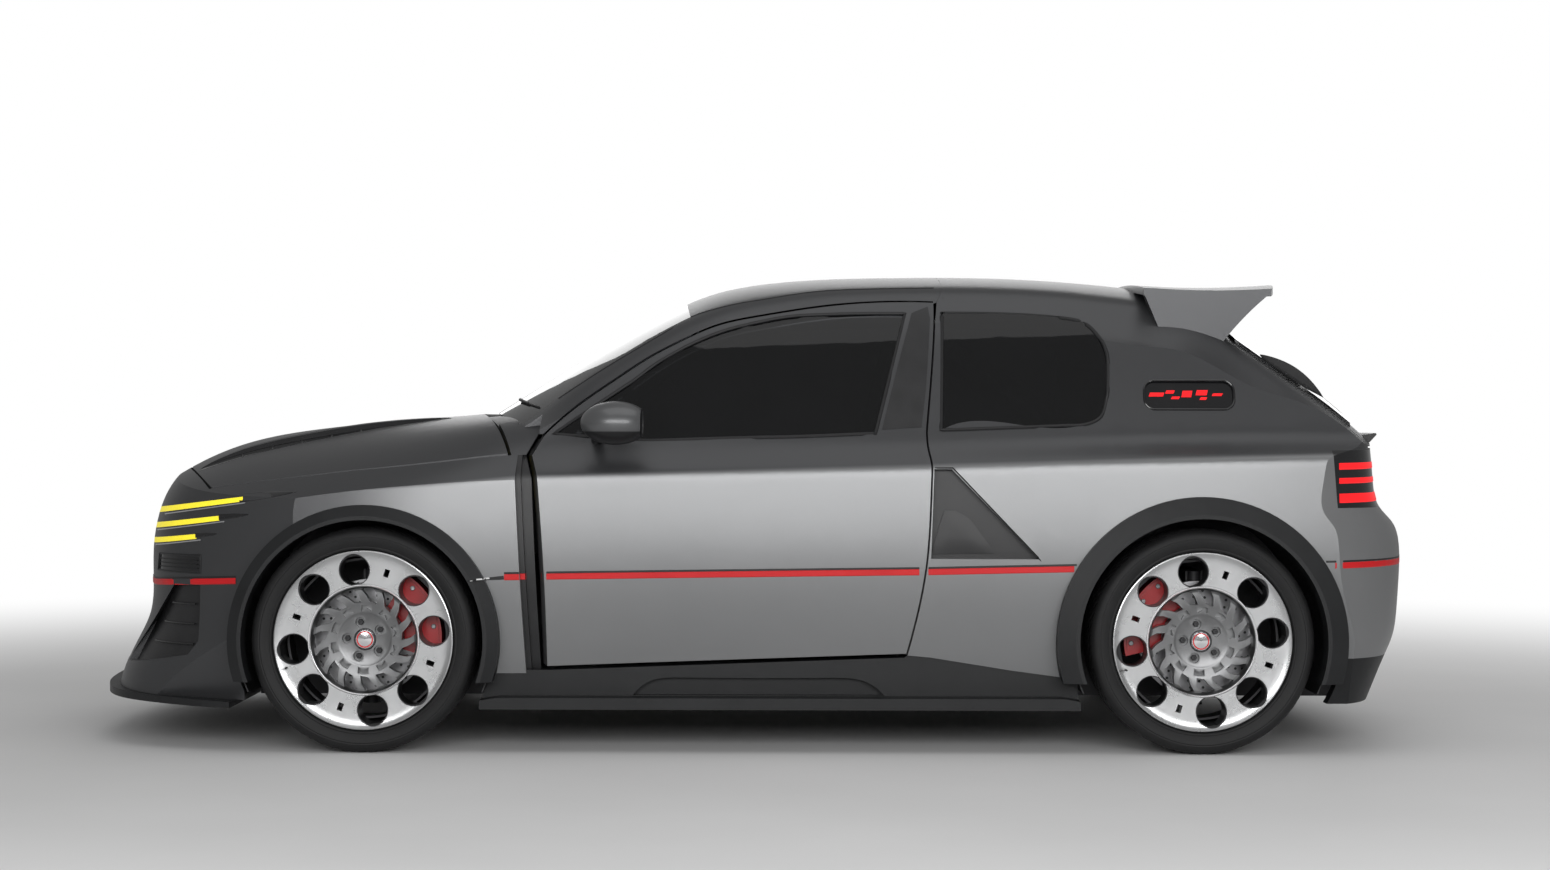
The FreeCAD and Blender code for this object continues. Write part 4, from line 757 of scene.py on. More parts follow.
def make_wheels():
    rim, centre, back = rim_parts(rim_mesh())
    tyre = tyre_mesh()
    sleeve = ((22, 44.5), (22, 46.5), (96, 46.5), (96, 44.5))
    sleeves = one_mesh("sleeves", [round_parts(213, a, sleeve, closed=True) for a in HOLE_ANGLES])
    nuts = one_mesh("nuts", [nut_parts(54, a, 54, 67, 9.5) for a in NUT_ANGLES])
    cap = lathe_mesh("cap", ((60, 0.5), (60, 29.5), (73, 29.5), (75.5, 27), (76, 22), (77.5, 12),
                             (78, 0.5)), 48)
    ring = lathe_mesh("cap_ring", ((75, 25.5), (77.2, 25), (77.2, 21.5), (75, 21)), 48)
    marks = one_mesh("disc_holes", [
        round_parts(radius, 15 * k + turn, ((-8.2, 4.2), (-7.4, 4.2)), 14)
        for k in range(24) for radius, turn in ((110, 0), (130, 4), (150, 8), (168, 12))])
    band_ring = lathe_mesh("rim_band", ((97.0, 163.8), (98.4, 165.2), (98.6, 168.4), (97.0, 169.8)), 144)
    valve = one_mesh("valve", [round_parts(247, 200, ((99, 3.5), (122, 3.2), (124, 2.5)), 12)])
    for axle in ("front", "rear"):
        for side_name, side in SIDES:
            tag = f"{axle}_{side_name}"
            spot = (axle, side_name, side)
            item = on_wheel(f"rim_detail_{tag}", rim, *spot, ALLOY, "rim", 30)
            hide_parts(f"rim_{tag}")
            on_wheel(f"rim_centre_{tag}", centre, *spot, GREY_ALLOY, "rim", 30)
            # The back and barrel in dark alloy: painted shade.
            on_wheel(f"rim_back_{tag}", back, *spot, DARK_ALLOY_AND_SHADE, "rim", 30)
            # Dark sleeves line each hole: painted shade inside the holes.
            on_wheel(f"hole_sleeves_{tag}", sleeves, *spot, DARK_ALLOY_AND_SHADE, "rim")
            item = on_wheel(f"tyre_detail_{tag}", tyre, *spot, RUBBER, "tyre", 28)
            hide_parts(f"tyre_{tag}")
            on_wheel(f"wheel_nuts_{tag}", nuts, *spot, DARK_ALLOY_AND_SHADE, "steel", 20)
            on_wheel(f"hub_cap_{tag}", cap, *spot, CHROME, "rim")
            on_wheel(f"hub_ring_{tag}", ring, *spot, STRIPE, "caliper")
            on_wheel(f"disc_holes_{tag}", marks, *spot, SATIN_BLACK, "disc")
            on_wheel(f"rim_band_{tag}", band_ring, *spot, CHROME, "rim")
            on_wheel(f"valve_{tag}", valve, *spot, SEAL, "tyre")


def make_caliper_details():
    """Rounded cover plate and bolts on each caliper."""
    for axle, middle in (("front", 20), ("rear", 155)):
        for side_name, side in SIDES:
            outline = [(218, middle + a) for a in range(-34, 35, 4)]
            outline += [(124, middle + a) for a in range(34, -35, -4)]
            cover = one_mesh("cover", [prism_parts(outline, 14, 19)])
            owner = f"knuckle_{side_name}" if axle == "front" else "body"
            on_wheel(f"caliper_cover_{axle}_{side_name}", cover, axle, side_name, side, RED_PAINT,
                     "caliper", body=owner)
            bolts = one_mesh("bolts", [nut_parts(205, middle + a, 17, 24, 8) for a in (-28, -10, 10, 28)])
            on_wheel(f"caliper_bolts_{axle}_{side_name}", bolts, axle, side_name, side, STEEL,
                     "steel", body=owner)


make_wheels()
make_caliper_details()


# Stripe, seams and gaskets

def line_between(start, end, count):
    (u0, v0), (u1, v1) = start, end
    return [(u0 + (u1 - u0) * i / (count - 1), v0 + (v1 - v0) * i / (count - 1)) for i in range(count)]


STRIPE_RUNS = (("fender", ("front_fenders", "side_vents"), "body", (-738, 531.9), (-675, 532.9)),
               ("door", None, None, (-672, 533), (541, 549.8)),
               ("quarter", ("rear_body", "side_vents"), "body", (548, 550), (996, 561)))


STRIPE_WIDTH = 0.0185
STRIPE_BRIDGE = 0.03
# Name, bumper, finder for its middle, turning point, way, height at the side and the middle, and lift
CORNER_RUNS = (("front", "front_bumper", from_ahead, -1.56, -1, 0.516, 0.498, 0.0022),
               ("rear", "rear_bumper", from_behind, 1.75, 1, 0.573, 0.580, 0.0008))


def stripe_pair(tag, find, path, body, lift, line_lift):
    """Red stripe along a path, with a thin black line above it."""
    band(f"stripe_{tag}", find, path, STRIPE_WIDTH, lift, body, STRIPE, "caliper", bridge=STRIPE_BRIDGE)
    above = [(a, z + 0.0125) for a, z in path]
    band(f"stripe_line_{tag}", find, above, 0.006, line_lift, body, SATIN_BLACK, "trim",
         bridge=STRIPE_BRIDGE)


def make_stripe():
    """Stripe along the sides and round both bumpers, with its black tail and white mark."""
    for side_name, side in SIDES:
        for tag, names, body, start, end in STRIPE_RUNS:
            names = names or (f"door_{side_name}",)
            stripe_pair(f"{tag}_{side_name}", from_side(surface(*names), side),
                        line_between(*mm((start, end)), 60), body or f"door_{side_name}", 0.0022, 0.0016)
    for side_name, side in SIDES:
        find = from_side(surface("front_fenders", "wheel_flares"), side)
        band(f"stripe_tail_{side_name}", find, line_between(*mm(((-852, 522), (-739, 531))), 24), 0.012,
             0.0018, "body", BLACK, "trim", taper=lambda t: 0.25 + 0.75 * t)
        band(f"stripe_mark_{side_name}", find, line_between(*mm(((-818, 527), (-782, 529))), 10), 0.005,
             0.0026, "body", WHITE_MARK, "body_paint")
    for tag, name, facing, centre_x, forward, z0, z1, lift in CORNER_RUNS:
        tree = surface(name)
        path = [(math.radians(a), z0 + (z1 - z0) * min(a / 50, 1)) for a in range(0, 91, 3)]
        for side_name, side in SIDES:
            find = around(tree, centre_x, side * 0.35, side, forward)
            stripe_pair(f"{tag}_{side_name}", find, path, "body", lift, lift * 0.7)
        band(f"stripe_{tag}_middle", facing(tree), line_between((-0.35, z1), (0.35, z1), 20),
             STRIPE_WIDTH, lift, "body", STRIPE, "caliper")


DOOR_PANE = ([(-598, 966), (-479, 1049), (-371, 1122), (-278, 1191), (-181, 1246), (-78, 1289),
              (35, 1318), (138, 1336), (250, 1342), (370, 1345), (488, 1345)],
             [(488, 1345), (439, 1157), (390, 970)],
             [(390, 970), (299, 966), (208, 962), (117, 959), (26, 957), (-144, 952), (-314, 947),
              (-456, 956), (-598, 966)])
QUARTER_PANE = ([(603, 1347), (700, 1347), (802, 1345), (890, 1341), (968, 1334), (1045, 1318),
                 (1092, 1270), (1110, 1228), (1114, 1194), (1112, 1138), (1106, 1083), (1086, 1025),
                 (1036, 999), (965, 995), (895, 992), (818, 989), (740, 986), (666, 983), (592, 981)],
                [(592, 981), (598, 1164), (603, 1347)])
RAIL_LINE = [(-594, 1076), (-468, 1160), (-340, 1239), (-221, 1311), (-164, 1343), (-55, 1373),
             (34, 1389), (251, 1421), (585, 1431)]


def ring_path(points, step):
    return split_edges(mm(points), step)


def smooth_ring(runs):
    """Closed outline of smooth runs that meet at corners."""
    ring = []
    for run in runs:
        ring += smooth_path(run, 7 * len(run))[:-1]
    return ring


def make_gaskets():
    """Black rubber round the side panes and the thin lines along and across the roof."""
    for side_name, side in SIDES:
        for tag, runs, pane, body in (
                ("door", DOOR_PANE, (f"door_{side_name}", f"door_glass_{side_name}"), f"door_{side_name}"),
                ("quarter", QUARTER_PANE, ("rear_body", "quarter_glass"), "body")):
            spots = lying(from_side(surface(*pane), side), smooth_ring(runs), (0, side * 0.0005, 0))
            tube(f"gasket_{tag}_{side_name}", spots, 0.0055, body, SEAL, "trim", 8, closed=True)
        rail = lying(from_side(surface("roof_frame", "rear_body"), side), smooth_path(RAIL_LINE, 70))
        tube(f"rail_line_{side_name}", rail, 0.0022, "body", SEAL, "trim", 6)
    roof = from_above(surface("roof_frame", "rear_body"))
    seam = lying(roof, [(0.611, y / 100) for y in range(-56, 57, 4)], (0, 0, -0.0019))
    tube("roof_seam", seam, 0.0022, "body", SEAL, "trim", 6)


PILLAR_COVER = [(508, 1346), (520, 1352), (560, 1368), (566, 1330), (548, 1110), (532, 990),
                (410, 982), (425, 1040), (470, 1210)]


def make_pillar_covers():
    """Black cover on each door's rear pillar, beside the pane."""
    for side_name, side in SIDES:
        find = from_side(surface(f"door_{side_name}"), side)
        patch(f"pillar_cover_{side_name}", find, mm(PILLAR_COVER), 0.0016, f"door_{side_name}",
              SATIN_BLACK, "trim", sink=0.003, step=0.02)


make_stripe()
make_gaskets()
make_pillar_covers()


# Lamps

# Two ends of each light bar, the reach and rise of the slot behind it, and the slot's width
LAMP_BARS = (((-1890, 716), (-1538, 766), (165, 22), 0.024),
             ((-1930, 664), (-1605, 708), (85, 10), 0.018),
             ((-1935, 618), (-1685, 650), (60, 7), 0.015))
COOLING_SLOT = [(-1846, 541), (-1684, 541), (-1684, 588), (-1838, 586)]
COOLING_FRAME = [(-1850, 537), (-1679, 537), (-1679, 592), (-1842, 590)]


def make_front_lamps():
    """Dark slots behind the light bars, a bright sill under each, and the cooling slot's louvres."""
    bumper = surface("front_bumper", "front_fenders", "headlamps")
    for side_name, side in SIDES:
        find = from_side(bumper, side)
        for i, ((x0, z0), (x1, z1), (reach, rise), width) in enumerate(LAMP_BARS):
            slope = (z1 - z0) / (x1 - x0)
            path = line_between(*mm(((x1 - 14, z1 + 1), (x1 + reach, z1 + 1 + rise))), 26)
            band(f"lamp_slot_{i}_{side_name}", find, path, width, 0.0014, "body", BLACK, "trim",
                 taper=lambda t: 1.0 - 0.85 * t * t, bridge=0.03)
            under = [(x0 + 60, z0 + slope * 60 - 12.5), (x1 + 6, z1 - 11.5)]
            band(f"lamp_sill_{i}_{side_name}", find, line_between(*mm(under), 30), 0.0045, 0.0022,
                 "body", CHROME, "rim")
        patch(f"cooling_slot_{side_name}", find, mm(COOLING_SLOT), 0.001, "body", BLACK, "trim")
        tube(f"cooling_frame_{side_name}", lying(find, ring_path(COOLING_FRAME, 0.015)), 0.003, "body",
             TRIM, "trim", 6, closed=True)
        for k in range(3):
            row = line_between(*mm(((-1838, 551 + 12 * k), (-1690, 551 + 12 * k))), 14)
            band(f"cooling_louvre_{k}_{side_name}", find, row, 0.0035, 0.004, "body", TRIM, "trim")


TAIL_BARS = ((0.872, 0.020), (0.828, 0.017), (0.775, 0.028))  # height of each bar's middle, and its width
SLOT_LIGHTS = ((1258, 1092, 44, 12), (1300, 1100, 26, 10), (1316, 1082, 24, 8), (1352, 1094, 30, 20),
               (1398, 1098, 34, 16), (1402, 1080, 20, 8), (1446, 1092, 30, 8))  # x, z, length, height


def slot_ring(count=64):
    """Rounded outline of the slot behind the quarter pane."""
    ring = []
    for k in range(count):
        c, s = math.cos(math.tau * k / count), math.sin(math.tau * k / count)
        ring.append((1360 + 106 * sign(c) + 33 * c, 1091 + 12 * sign(s) + 33 * s))
    return mm(ring)


def make_tail_lamps():
    """Red bars round the tail lamps, and the small red lights in the slot with its frame."""
    tree = surface("tail_lamps")
    for side_name, side in SIDES:
        find = around(tree, 1.70, side * 0.45, side, 1)
        for i, (z, width) in enumerate(TAIL_BARS):
            path = [(math.radians(a), z + 0.00012 * a) for a in range(13, 89, 3)]
            band(f"tail_bar_{i}_{side_name}", find, path, width, 0.002, "body", RED_LIGHT, "lamp_red",
                 sink=0.002)
        flat = from_side(tree, side)
        for i, (x, z, length, height) in enumerate(SLOT_LIGHTS):
            left, right, low, high = x - length / 2, x + length / 2, z - height / 2, z + height / 2
            outline = mm([(left, low), (right, low), (right + 5, high), (left + 5, high)])
            patch(f"slot_light_{i}_{side_name}", flat, outline, 0.0015, "body", RED_LIGHT, "lamp_red",
                  sink=0.002, step=0.012)
        shell = from_side(surface("rear_body"), side)
        tube(f"slot_frame_{side_name}", lying(shell, slot_ring()), 0.0035, "body", BLACK, "trim", 8,
             closed=True)


make_front_lamps()
make_tail_lamps()


# Details of the nose, bonnet and glass

VENT_OUTER = ((-1.735, 0.575), (-1.60, 0.545), (-1.35, 0.475), (-1.15, 0.415), (-0.985, 0.362))
VENT_INNER = ((-0.985, 0.358), (-1.15, 0.385), (-1.35, 0.415), (-1.60, 0.475), (-1.715, 0.53))
VENT_CREST = ((-1.74, 0.545), (-1.60, 0.488), (-1.35, 0.43), (-1.15, 0.388), (-0.96, 0.355))
# Distance outward and share of the lip's height; the first two are plain heights
LIP_SECTION = ((0.004, -0.002), (0.010, 0.001), (0.006, 0.8), (-0.004, 1.0), (-0.05, 0.35),
               (-0.09, 0.0), (-0.09, -0.1))
LIP_HEIGHT = 0.022


def one_side(points, side, count):
    """Smooth row through (x, y) points, on one side of the car."""
    return [(p.x, p.y) for p in curve([(x, side * y, 0) for x, y in points], count)]


def make_bonnet_details():
    """Vents in the bonnet, each with a raised lip and five louvres; the black vent and the lip's black
    outward face are painted shade of the gap under the lip.
    """
    find = from_above(surface("bonnet"))
    for side_name, side in SIDES:
        outline = one_side(VENT_OUTER, side, 30) + one_side(VENT_INNER, side, 30)
        # Black vent under the lip: painted shade of the gap beneath its edge.
        patch(f"bonnet_vent_{side_name}", find, outline, 0.0008, "bonnet", BLACK, "trim", step=0.02)
        crest = lying(find, one_side(VENT_CREST, side, 40))
        rings = []
        for i, p in enumerate(crest):
            grow = math.sin(math.pi * i / (len(crest) - 1)) ** 0.7
            ring = []
            for out, up in LIP_SECTION:
                lift = up * LIP_HEIGHT * grow if abs(up) > 0.01 else up
                ring.append(p + Vector((0, side * out * (0.15 + 0.85 * grow), lift - 0.0015)))
            rings.append(ring)
        hood = piece(f"bonnet_vent_lip_{side_name}", loft(rings), "bonnet", SHADE_TONE_PAINT, "body_paint", 50)
        # The lip's outward faces are black: painted shade of the gap under the lip.
        hood.data.materials.append(BLACK)
        for face in hood.data.polygons:
            if side * face.normal.y > 0.55:
                face.material_index = 1
        for k in range(5):
            x, y = -1.62 + 0.09 * k, 0.512 - 0.024 * k
            blade = line_between((x, side * (y - 0.026)), (x + 0.015, side * (y + 0.026)), 8)
            band(f"bonnet_louvre_{k}_{side_name}", find, blade, 0.006, 0.003, "bonnet", SATIN_BLACK,
                 "trim")


WIPERS = ((-0.30, -0.60), (0.54, 0.26))  # y of each root and tip


def make_wipers():
    """Arms and blades parked low on the windscreen."""
    glass = from_above(surface("windscreen"))
    for i, ends in enumerate(WIPERS):
        ys = [y for _, y in line_between((0, ends[0]), (0, ends[1]), 20)]
        hits = lying(glass, [(-0.80 + 0.14 * (y / 0.665) ** 2 + 0.025, y) for y in ys])
        arm = [p + Vector((-0.003, 0, 0.006)) for p in hits[:12]]
        tube(f"wiper_arm_{i}", arm, 0.004, "body", SATIN_BLACK, "trim", 8,
             radii=[0.006 - 0.0002 * k for k in range(len(arm))])
        tube(f"wiper_blade_{i}", [p + Vector((0, 0, 0.003)) for p in hits[3:]], 0.0035, "body", SEAL,
             "trim", 6)


def make_grille():
    """Slats and uprights in the lower mouth and in the upper slot."""
    back = from_ahead(surface("front_grille"))
    for tag, ys, zs, width in (("mouth", 0.505, [0.268 + 0.024 * k for k in range(9)], 0.0055),
                               ("slot", 0.315, [0.598, 0.613, 0.628], 0.004)):
        for k, z in enumerate(zs):
            row = line_between((-ys, z), (ys, z), 40)
            band(f"grille_{tag}_{k}", back, row, width, 0.022, "body", SATIN_BLACK, "trim")
    for k in range(-5, 6):
        column = line_between((0.085 * k, 0.252), (0.085 * k, 0.465), 16)
        band(f"grille_upright_{k + 5}", back, column, 0.004, 0.018, "body", SATIN_BLACK, "trim")
    for side_name, side in SIDES:
        deep = from_side(surface("front_grille"), side)
        for k in range(3):
            z = 0.32 + 0.06 * k
            row = line_between((-1.85 + 0.03 * k, z), (-1.70, z), 14)
            band(f"intake_slat_{k}_{side_name}", deep, row, 0.005, 0.010, "body", BLACK, "trim")


RAISED_PANEL = [(597, 735), (634, 735), (676, 711), (752, 607), (556, 604)]
VENT_EDGE = [(562, 866), (622, 866), (889, 586)]


def make_side_vent_details():
    """Raised panel in each side vent, and the dark line along the vent's edge."""
    for side_name, side in SIDES:
        find = from_side(surface("side_vents"), side)
        patch(f"vent_panel_{side_name}", find, mm(RAISED_PANEL), 0.006, "body", SATIN_BLACK, "trim",
              step=0.018, crown=0.003)
        edge = from_side(surface("rear_body"), side)
        tube(f"vent_edge_{side_name}", lying(edge, ring_path(VENT_EDGE, 0.015)[:-20]), 0.0025, "body",
             BLACK, "trim", 6)


# Half width, half height and x of each ring
MIRROR_EDGE = ((0.045, 0.036, -0.324), (0.052, 0.041, -0.3195), (0.048, 0.037, -0.3175),
               (0.047, 0.036, -0.3200))
MIRROR_DISC = ((0.0475, 0.0365, -0.3195), (0.0475, 0.0365, -0.3235))


def oval(middle_y, width, height, x, count=40):
    """Upright ring of points, a little squarer than an ellipse, with its middle 1 m up."""
    ring = []
    for k in range(count):
        c, s = math.cos(math.tau * k / count), math.sin(math.tau * k / count)
        ring.append((x, middle_y + width * math.copysign(abs(c) ** 0.8, c),
                     1.0 + height * math.copysign(abs(s) ** 0.8, s)))
    return ring


def make_mirrors():
    """Silvered glass with a black edge in each door mirror."""
    for side_name, side in SIDES:
        edge = loft([oval(side * 0.925, *row) for row in MIRROR_EDGE], caps=False)
        piece(f"mirror_edge_{side_name}", edge, f"door_{side_name}", SATIN_BLACK, "trim")
        disc = loft([oval(side * 0.925, *row) for row in MIRROR_DISC])
        piece(f"mirror_glass_{side_name}", disc, f"door_{side_name}", MIRROR, "rim")


def plate(name, outline, y, thick, body, material, slot):
    """Upright plate from an (x, z) outline in millimetres, its middle at y."""
    rings = [[(x / 1000, y + side * thick / 2, z / 1000) for x, z in outline] for side in (-1, 1)]
    return piece(name, loft(rings), body, material, slot)


def make_wheelhouses():
    """Inner walls that close off the space beside each wheel."""
    for axle, foot in (("front", 470), ("rear", 400)):
        for side_name, side in SIDES:
            centre = AXLE_X[axle] * 1000
            turns = [math.radians(a) for a in range(20, 161, 7)]
            arc = [(centre + 386 * math.cos(a), 341 + 386 * math.sin(a)) for a in turns]
            outline = arc + [(arc[-1][0], foot), (arc[0][0], foot)]
            plate(f"wheelhouse_{axle}_{side_name}", outline, side * 0.476, 0.004, "body", STRUCTURE,
                  "structure")


TAIL_LIP = ((-0.012, -0.012), (0.012, -0.010), (0.034, 0.014), (0.032, 0.019), (-0.006, 0.014))
BLADE = ((-0.008, 0), (-0.005, 1), (0.005, 1), (0.008, 0))  # place across it, share of its height
PIPE_RINGS = ((2030, 30.0), (2072, 30.5), (2074, 32.0), (2074, 36.0), (2070, 38.0), (2030, 38.0))
PLATE_PANEL = [(-0.30, 0.43), (0.30, 0.43), (0.33, 0.56), (-0.33, 0.56)]


def make_tail_details():
    """Lip under the rear pane, blades beside it, fins, tail pipes, brake light and plate panel."""
    tail = from_behind(surface("tailgate", "rear_body", "tailgate_glass"))
    lip = lying(tail, [(-0.62 + 1.24 * k / 32, 0.955) for k in range(33)])
    rings = [[p + Vector((dx, 0, dz)) for dx, dz in TAIL_LIP] for p in lip]
    piece("tail_lip", loft(rings), "tailgate", SATIN_BLACK, "trim")
    roof = from_above(surface("tailgate", "tailgate_glass"))
    under = from_behind(surface("rear_diffuser"))
    for side_name, side in SIDES:
        row = lying(roof, [(1.62 + 0.215 * k / 24, side * 0.50) for k in range(25)])
        rings = []
        for i, p in enumerate(row):
            rise = 0.026 * math.sin(math.pi * min(i / (len(row) - 1) * 1.04, 1)) ** 0.8
            rings.append([p + Vector((0.5 * rise * share, y, rise * share - 0.002)) for y, share in BLADE])
        piece(f"pane_blade_{side_name}", loft(rings), "tailgate", SEAL, "trim")
        for k, y in enumerate((0.22, 0.36)):
            x = under(side * y, 0.235)[0].x * 1000
            outline = [(x - 110, 190), (x - 20, 176), (x + 4, 190), (x + 2, 262), (x - 110, 262)]
            plate(f"tail_fin_{k}_{side_name}", outline, side * y, 0.008, "body", TRIM, "trim")
        rings = [ring_round(x / 1000, side * 0.120, 0.240, r / 1000, 36) for x, r in PIPE_RINGS]
        piece(f"pipe_end_{side_name}", loft(rings, closed=True), "body", CHROME, "steel")
    row = [(y / 100, 1.437) for y in range(-24, 25, 3)]
    band("high_brake_light", from_behind(surface("roof_wing")), row, 0.008, 0.0015, "body", RED_LIGHT,
         "lamp_red")
    patch("plate_panel", from_behind(surface("rear_bumper", "tailgate")), PLATE_PANEL, 0.0012, "body",
          SATIN_BLACK, "trim", step=0.03)


# Seats

def rounded(y, half, height, corner):
    """Height of a pad across its width, falling off near the sides."""
    past = corner - half + abs(y)
    return height if past <= 0 else height - corner + math.sqrt(max(corner ** 2 - past ** 2, 0))


def pad_mesh(name, line, half, thick, corner=0.026):
    """Closed pad that follows a line of (x, z, toward_x, toward_z) with rounded long sides."""
    across = [-half + 2 * half * k / 14 for k in range(15)]
    rings = []
    for i, (x, z, nx, nz) in enumerate(line):
        slim = (0.45, 0.8, 1.0)[min(i, len(line) - 1 - i, 2)]
        tops = [rounded(y, half, thick, corner) * slim for y in across]
        top = [(x + nx * up, y, z + nz * up) for y, up in zip(across, tops)]
        rings.append(top + [(x + nx * 0.004, y * 0.97, z + nz * 0.004) for y in reversed(across)])
    return outward(raw_mesh(name, *loft(rings)))


PRESSURE = 4.0
PUFF_FRAMES = 20


def puffed(name, mesh, cap, voxel=0.006):
    """Mesh filled with gentle air pressure, so that it crowns like a sewn pad."""
    scene = bpy.context.scene
    item = bpy.data.objects.new(name, mesh)
    scene.collection.objects.link(item)
    grid = item.modifiers.new("grid", "REMESH")
    grid.mode = "VOXEL"
    grid.voxel_size = voxel
    graph = bpy.context.evaluated_depsgraph_get()
    even = bpy.data.meshes.new_from_object(item.evaluated_get(graph))
    item.modifiers.clear()
    item.data = even
    start = [v.co.copy() for v in even.vertices]
    cloth = item.modifiers.new("cloth", "CLOTH")
    cloth.settings.use_pressure = True
    cloth.settings.uniform_pressure_force = PRESSURE
    cloth.settings.effector_weights.gravity = 0.0
    cloth.settings.quality = 4
    cloth.point_cache.frame_start = 1
    cloth.point_cache.frame_end = PUFF_FRAMES
    for number in range(1, PUFF_FRAMES + 1):
        scene.frame_set(number)
    graph = bpy.context.evaluated_depsgraph_get()
    moved = [v.co.copy() for v in item.evaluated_get(graph).data.vertices]
    for vertex, old, new in zip(even.vertices, start, moved):
        shift = new - old
        if shift.length > cap:
            shift *= cap / shift.length
        vertex.co = old + shift
    item.modifiers.clear()
    scene.frame_set(1)
    bpy.data.objects.remove(item)
    return even


def sew(mesh, distance, depth, width=0.006):
    """Presses a seam into a pad; distance gives how far a point is from the seam."""
    normals = [v.normal.copy() for v in mesh.vertices]
    for vertex, normal in zip(mesh.vertices, normals):
        vertex.co -= normal * math.exp(-(distance(vertex.co) / width) ** 2) * depth


def turned_line(points, count):
    """Smooth (x, z) line with the direction toward the sitter at each point."""
    row = smooth_path(points, count)
    line = []
    for i, (x, z) in enumerate(row):
        x0, z0 = row[max(i - 1, 0)]
        x1, z1 = row[min(i + 1, count - 1)]
        along = Vector((x1 - x0, z1 - z0)).normalized()
        line.append((x, z, -along.y, along.x))
    return line


SHELL_LINE = ((-70, 352), (150, 332), (300, 322), (392, 345), (448, 480), (486, 640), (508, 800),
              (522, 960), (530, 1125))
SHELL_SIDES = (0.055, 0.075, 0.085, 0.11, 0.115, 0.105, 0.10, 0.095, 0.045)
SHELL_HALF = 0.213
SHELL_FLAT = 0.62  # share of the half width before the side turns up
SHELL_TURN = 0.035  # how far outward the turn goes
SEAT_Y = 0.37


def shell_mesh():
    """Bucket with raised sides that is narrower at the head."""
    line = turned_line(SHELL_LINE, 49)
    rings = []
    for i, (x, z, nx, nz) in enumerate(line):
        t = i / (len(line) - 1) * (len(SHELL_SIDES) - 1)
        k = min(int(t), len(SHELL_SIDES) - 2)
        side = SHELL_SIDES[k] + (SHELL_SIDES[k + 1] - SHELL_SIDES[k]) * (t - k)
        half = SHELL_HALF - 0.075 * min(max((t - 6.6) / 0.8, 0), 1)
        inner, outer = [], []
        for s in range(-10, 11):
            share = abs(s) / 10
            bend = max(share - SHELL_FLAT, 0) / (1 - SHELL_FLAT)
            y = (min(share, SHELL_FLAT) / SHELL_FLAT * (half - SHELL_TURN)
                 + SHELL_TURN * math.sin(bend * math.pi / 2)) * sign(s)
            rise = side * bend ** 1.4
            inner.append((x + nx * (rise + 0.004), y * 0.965, z + nz * (rise + 0.004)))
            outer.append((x + nx * (rise - 0.008), y, z + nz * (rise - 0.008)))
        rings.append(inner + outer[::-1])
    return raw_mesh("seat_shell", *loft(rings))


def moved_copy(mesh, name, dy):
    copy = mesh.copy()
    copy.name = name
    for vertex in copy.vertices:
        vertex.co.y += dy
    return copy


def ribbon(name, points, width, body, material, slot, thick=0.0022):
    """Flat strap along points, lying across the y axis."""
    rings = []
    for i, p in enumerate(points):
        along = (points[min(i + 1, len(points) - 1)] - points[max(i - 1, 0)]).normalized()
        wide = (Vector((0, 1, 0)) - along * along.y).normalized()
        out = wide.cross(along).normalized()
        rings.append([p + wide * width * a + out * thick / 2 * b
                      for a, b in ((-0.5, -1), (-0.5, 1), (0.5, 1), (0.5, -1))])
    return piece(name, loft(rings), body, material, slot)


# Line, its points, half width, thickness, most crown, and the axis and places of the cross seams
PADS = (("base", ((-58, 362), (60, 352), (180, 342), (318, 334)), 22, 0.158, 0.050, 0.010, 0,
         (0.03, 0.12, 0.21)),
        ("back", ((420, 436), (452, 560), (478, 700), (492, 840), (502, 955)), 26, 0.158, 0.046, 0.010,
         2, (0.56, 0.66, 0.76, 0.86)),
        ("head", ((507, 985), (513, 1040), (518, 1100)), 9, 0.095, 0.036, 0.008, 2, ()))
SEAT_RAIL = [(-40, 158), (330, 158), (330, 178), (300, 196), (290, 318), (250, 318), (245, 200),
             (60, 200), (45, 336), (0, 338), (-10, 200), (-40, 178)]
SHOULDER_BELT = ((0.512, 1.15, 0.985), (0.462, 1.1, 0.965), (0.438, 1, 0.84), (0.426, 1, 0.70),
                 (0.392, 0.9, 0.56), (0.340, 0.6, 0.455))  # x, share of the distance apart, z
LAP_BELT = ((0.39, -0.185, 0.44), (0.375, -0.12, 0.455), (0.335, 0, 0.448), (0.375, 0.12, 0.455),
            (0.39, 0.185, 0.44))
BUCKLE = ((0.318, 0.004), (0.318, 0.030), (0.326, 0.034), (0.338, 0.034), (0.344, 0.028),
          (0.344, 0.004))  # x, radius


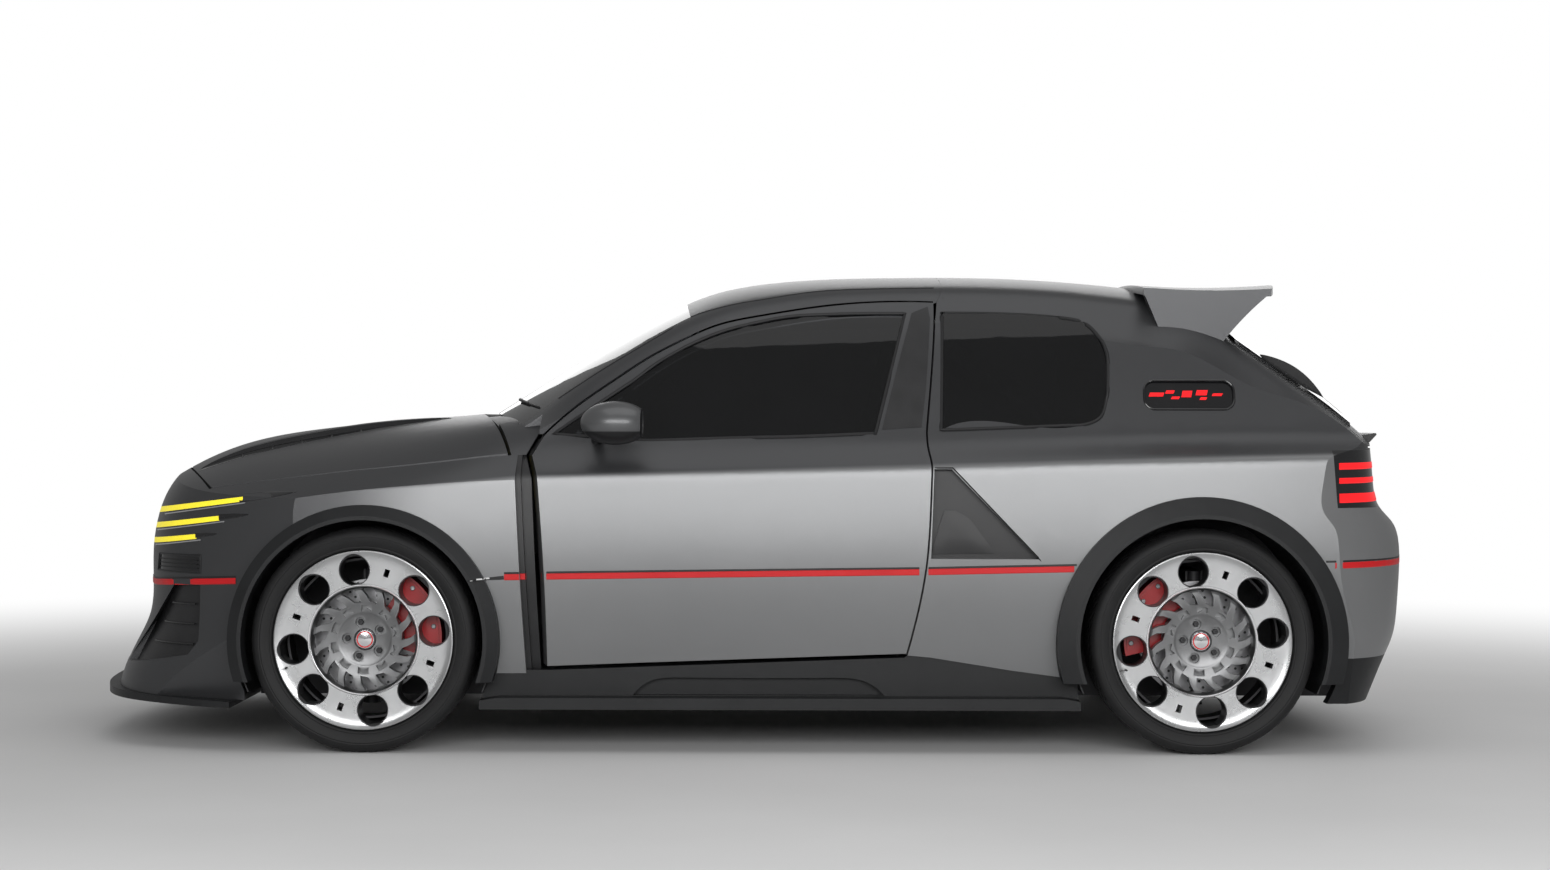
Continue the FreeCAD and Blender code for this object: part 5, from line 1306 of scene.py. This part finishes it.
def make_pads():
    """Puffed and sewn pads of a seat that stands in the middle of the car."""
    pads = []
    for tag, line, count, half, thick, cap, axis, places in PADS:
        full = puffed(f"puff_{tag}", pad_mesh(f"pad_{tag}", turned_line(line, count), half, thick), cap)
        for place in places:
            sew(full, lambda p: abs(p[axis] - place) if abs(p.y) < 0.09 else 1.0, 0.005)
        if places:
            sew(full, lambda p: abs(abs(p.y) - 0.092), 0.007)
        else:
            sew(full, lambda p: abs(p.z - 1.045), 0.007)
        pads.append((tag, full))
    return pads


def make_seats():
    """Bucket seats: woven shell, sewn pads, rails and belts."""
    shell = shell_mesh()
    pads = make_pads()
    for side_name, side in SIDES:
        dy = side * SEAT_Y
        item = piece_from(f"seat_shell_{side_name}", moved_copy(shell, f"shell_{side_name}", dy), "body",
                          CARBON, "seat_fabric", 40)
        if side == LEFT:
            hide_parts("seats")
        for tag, mesh in pads:
            pad = piece_from(f"seat_pad_{tag}_{side_name}", moved_copy(mesh, f"pad_{tag}_{side_name}", dy),
                             "body", FABRIC, "seat_fabric", 60)
        for k, y in enumerate((-0.17, 0.17)):
            plate(f"seat_rail_{k}_{side_name}", SEAT_RAIL, dy + y, 0.012, "body", STEEL, "steel")
        for k, y in enumerate((-0.052, 0.052)):
            path = curve([(x, dy + y * share, z) for x, share, z in SHOULDER_BELT], 40)
            ribbon(f"belt_shoulder_{k}_{side_name}", path, 0.045, "body", STRAP, "seat_fabric")
        lap = curve([(x, dy + y, z) for x, y, z in LAP_BELT], 30)
        tube(f"belt_lap_{side_name}", lap, 0.006, "body", STRAP, "seat_fabric", 8)
        buckle = loft([ring_round(x, dy, 0.462, r, 24) for x, r in BUCKLE])
        piece(f"belt_buckle_{side_name}", buckle, "body", CHROME, "steel")


make_bonnet_details()
make_wipers()
make_grille()
make_side_vent_details()
make_mirrors()
make_wheelhouses()
make_tail_details()
make_seats()

bpy.context.view_layer.update()
whole_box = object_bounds()


def plain(box):
    """Corners of a box as plain numbers, whatever form they come in."""
    if isinstance(box, dict):
        return {key: plain(value) for key, value in box.items()}
    if isinstance(box, (int, float)):
        return float(box)
    return [plain(value) for value in box]


{"cad": plain(cad_box), "all": plain(whole_box)}
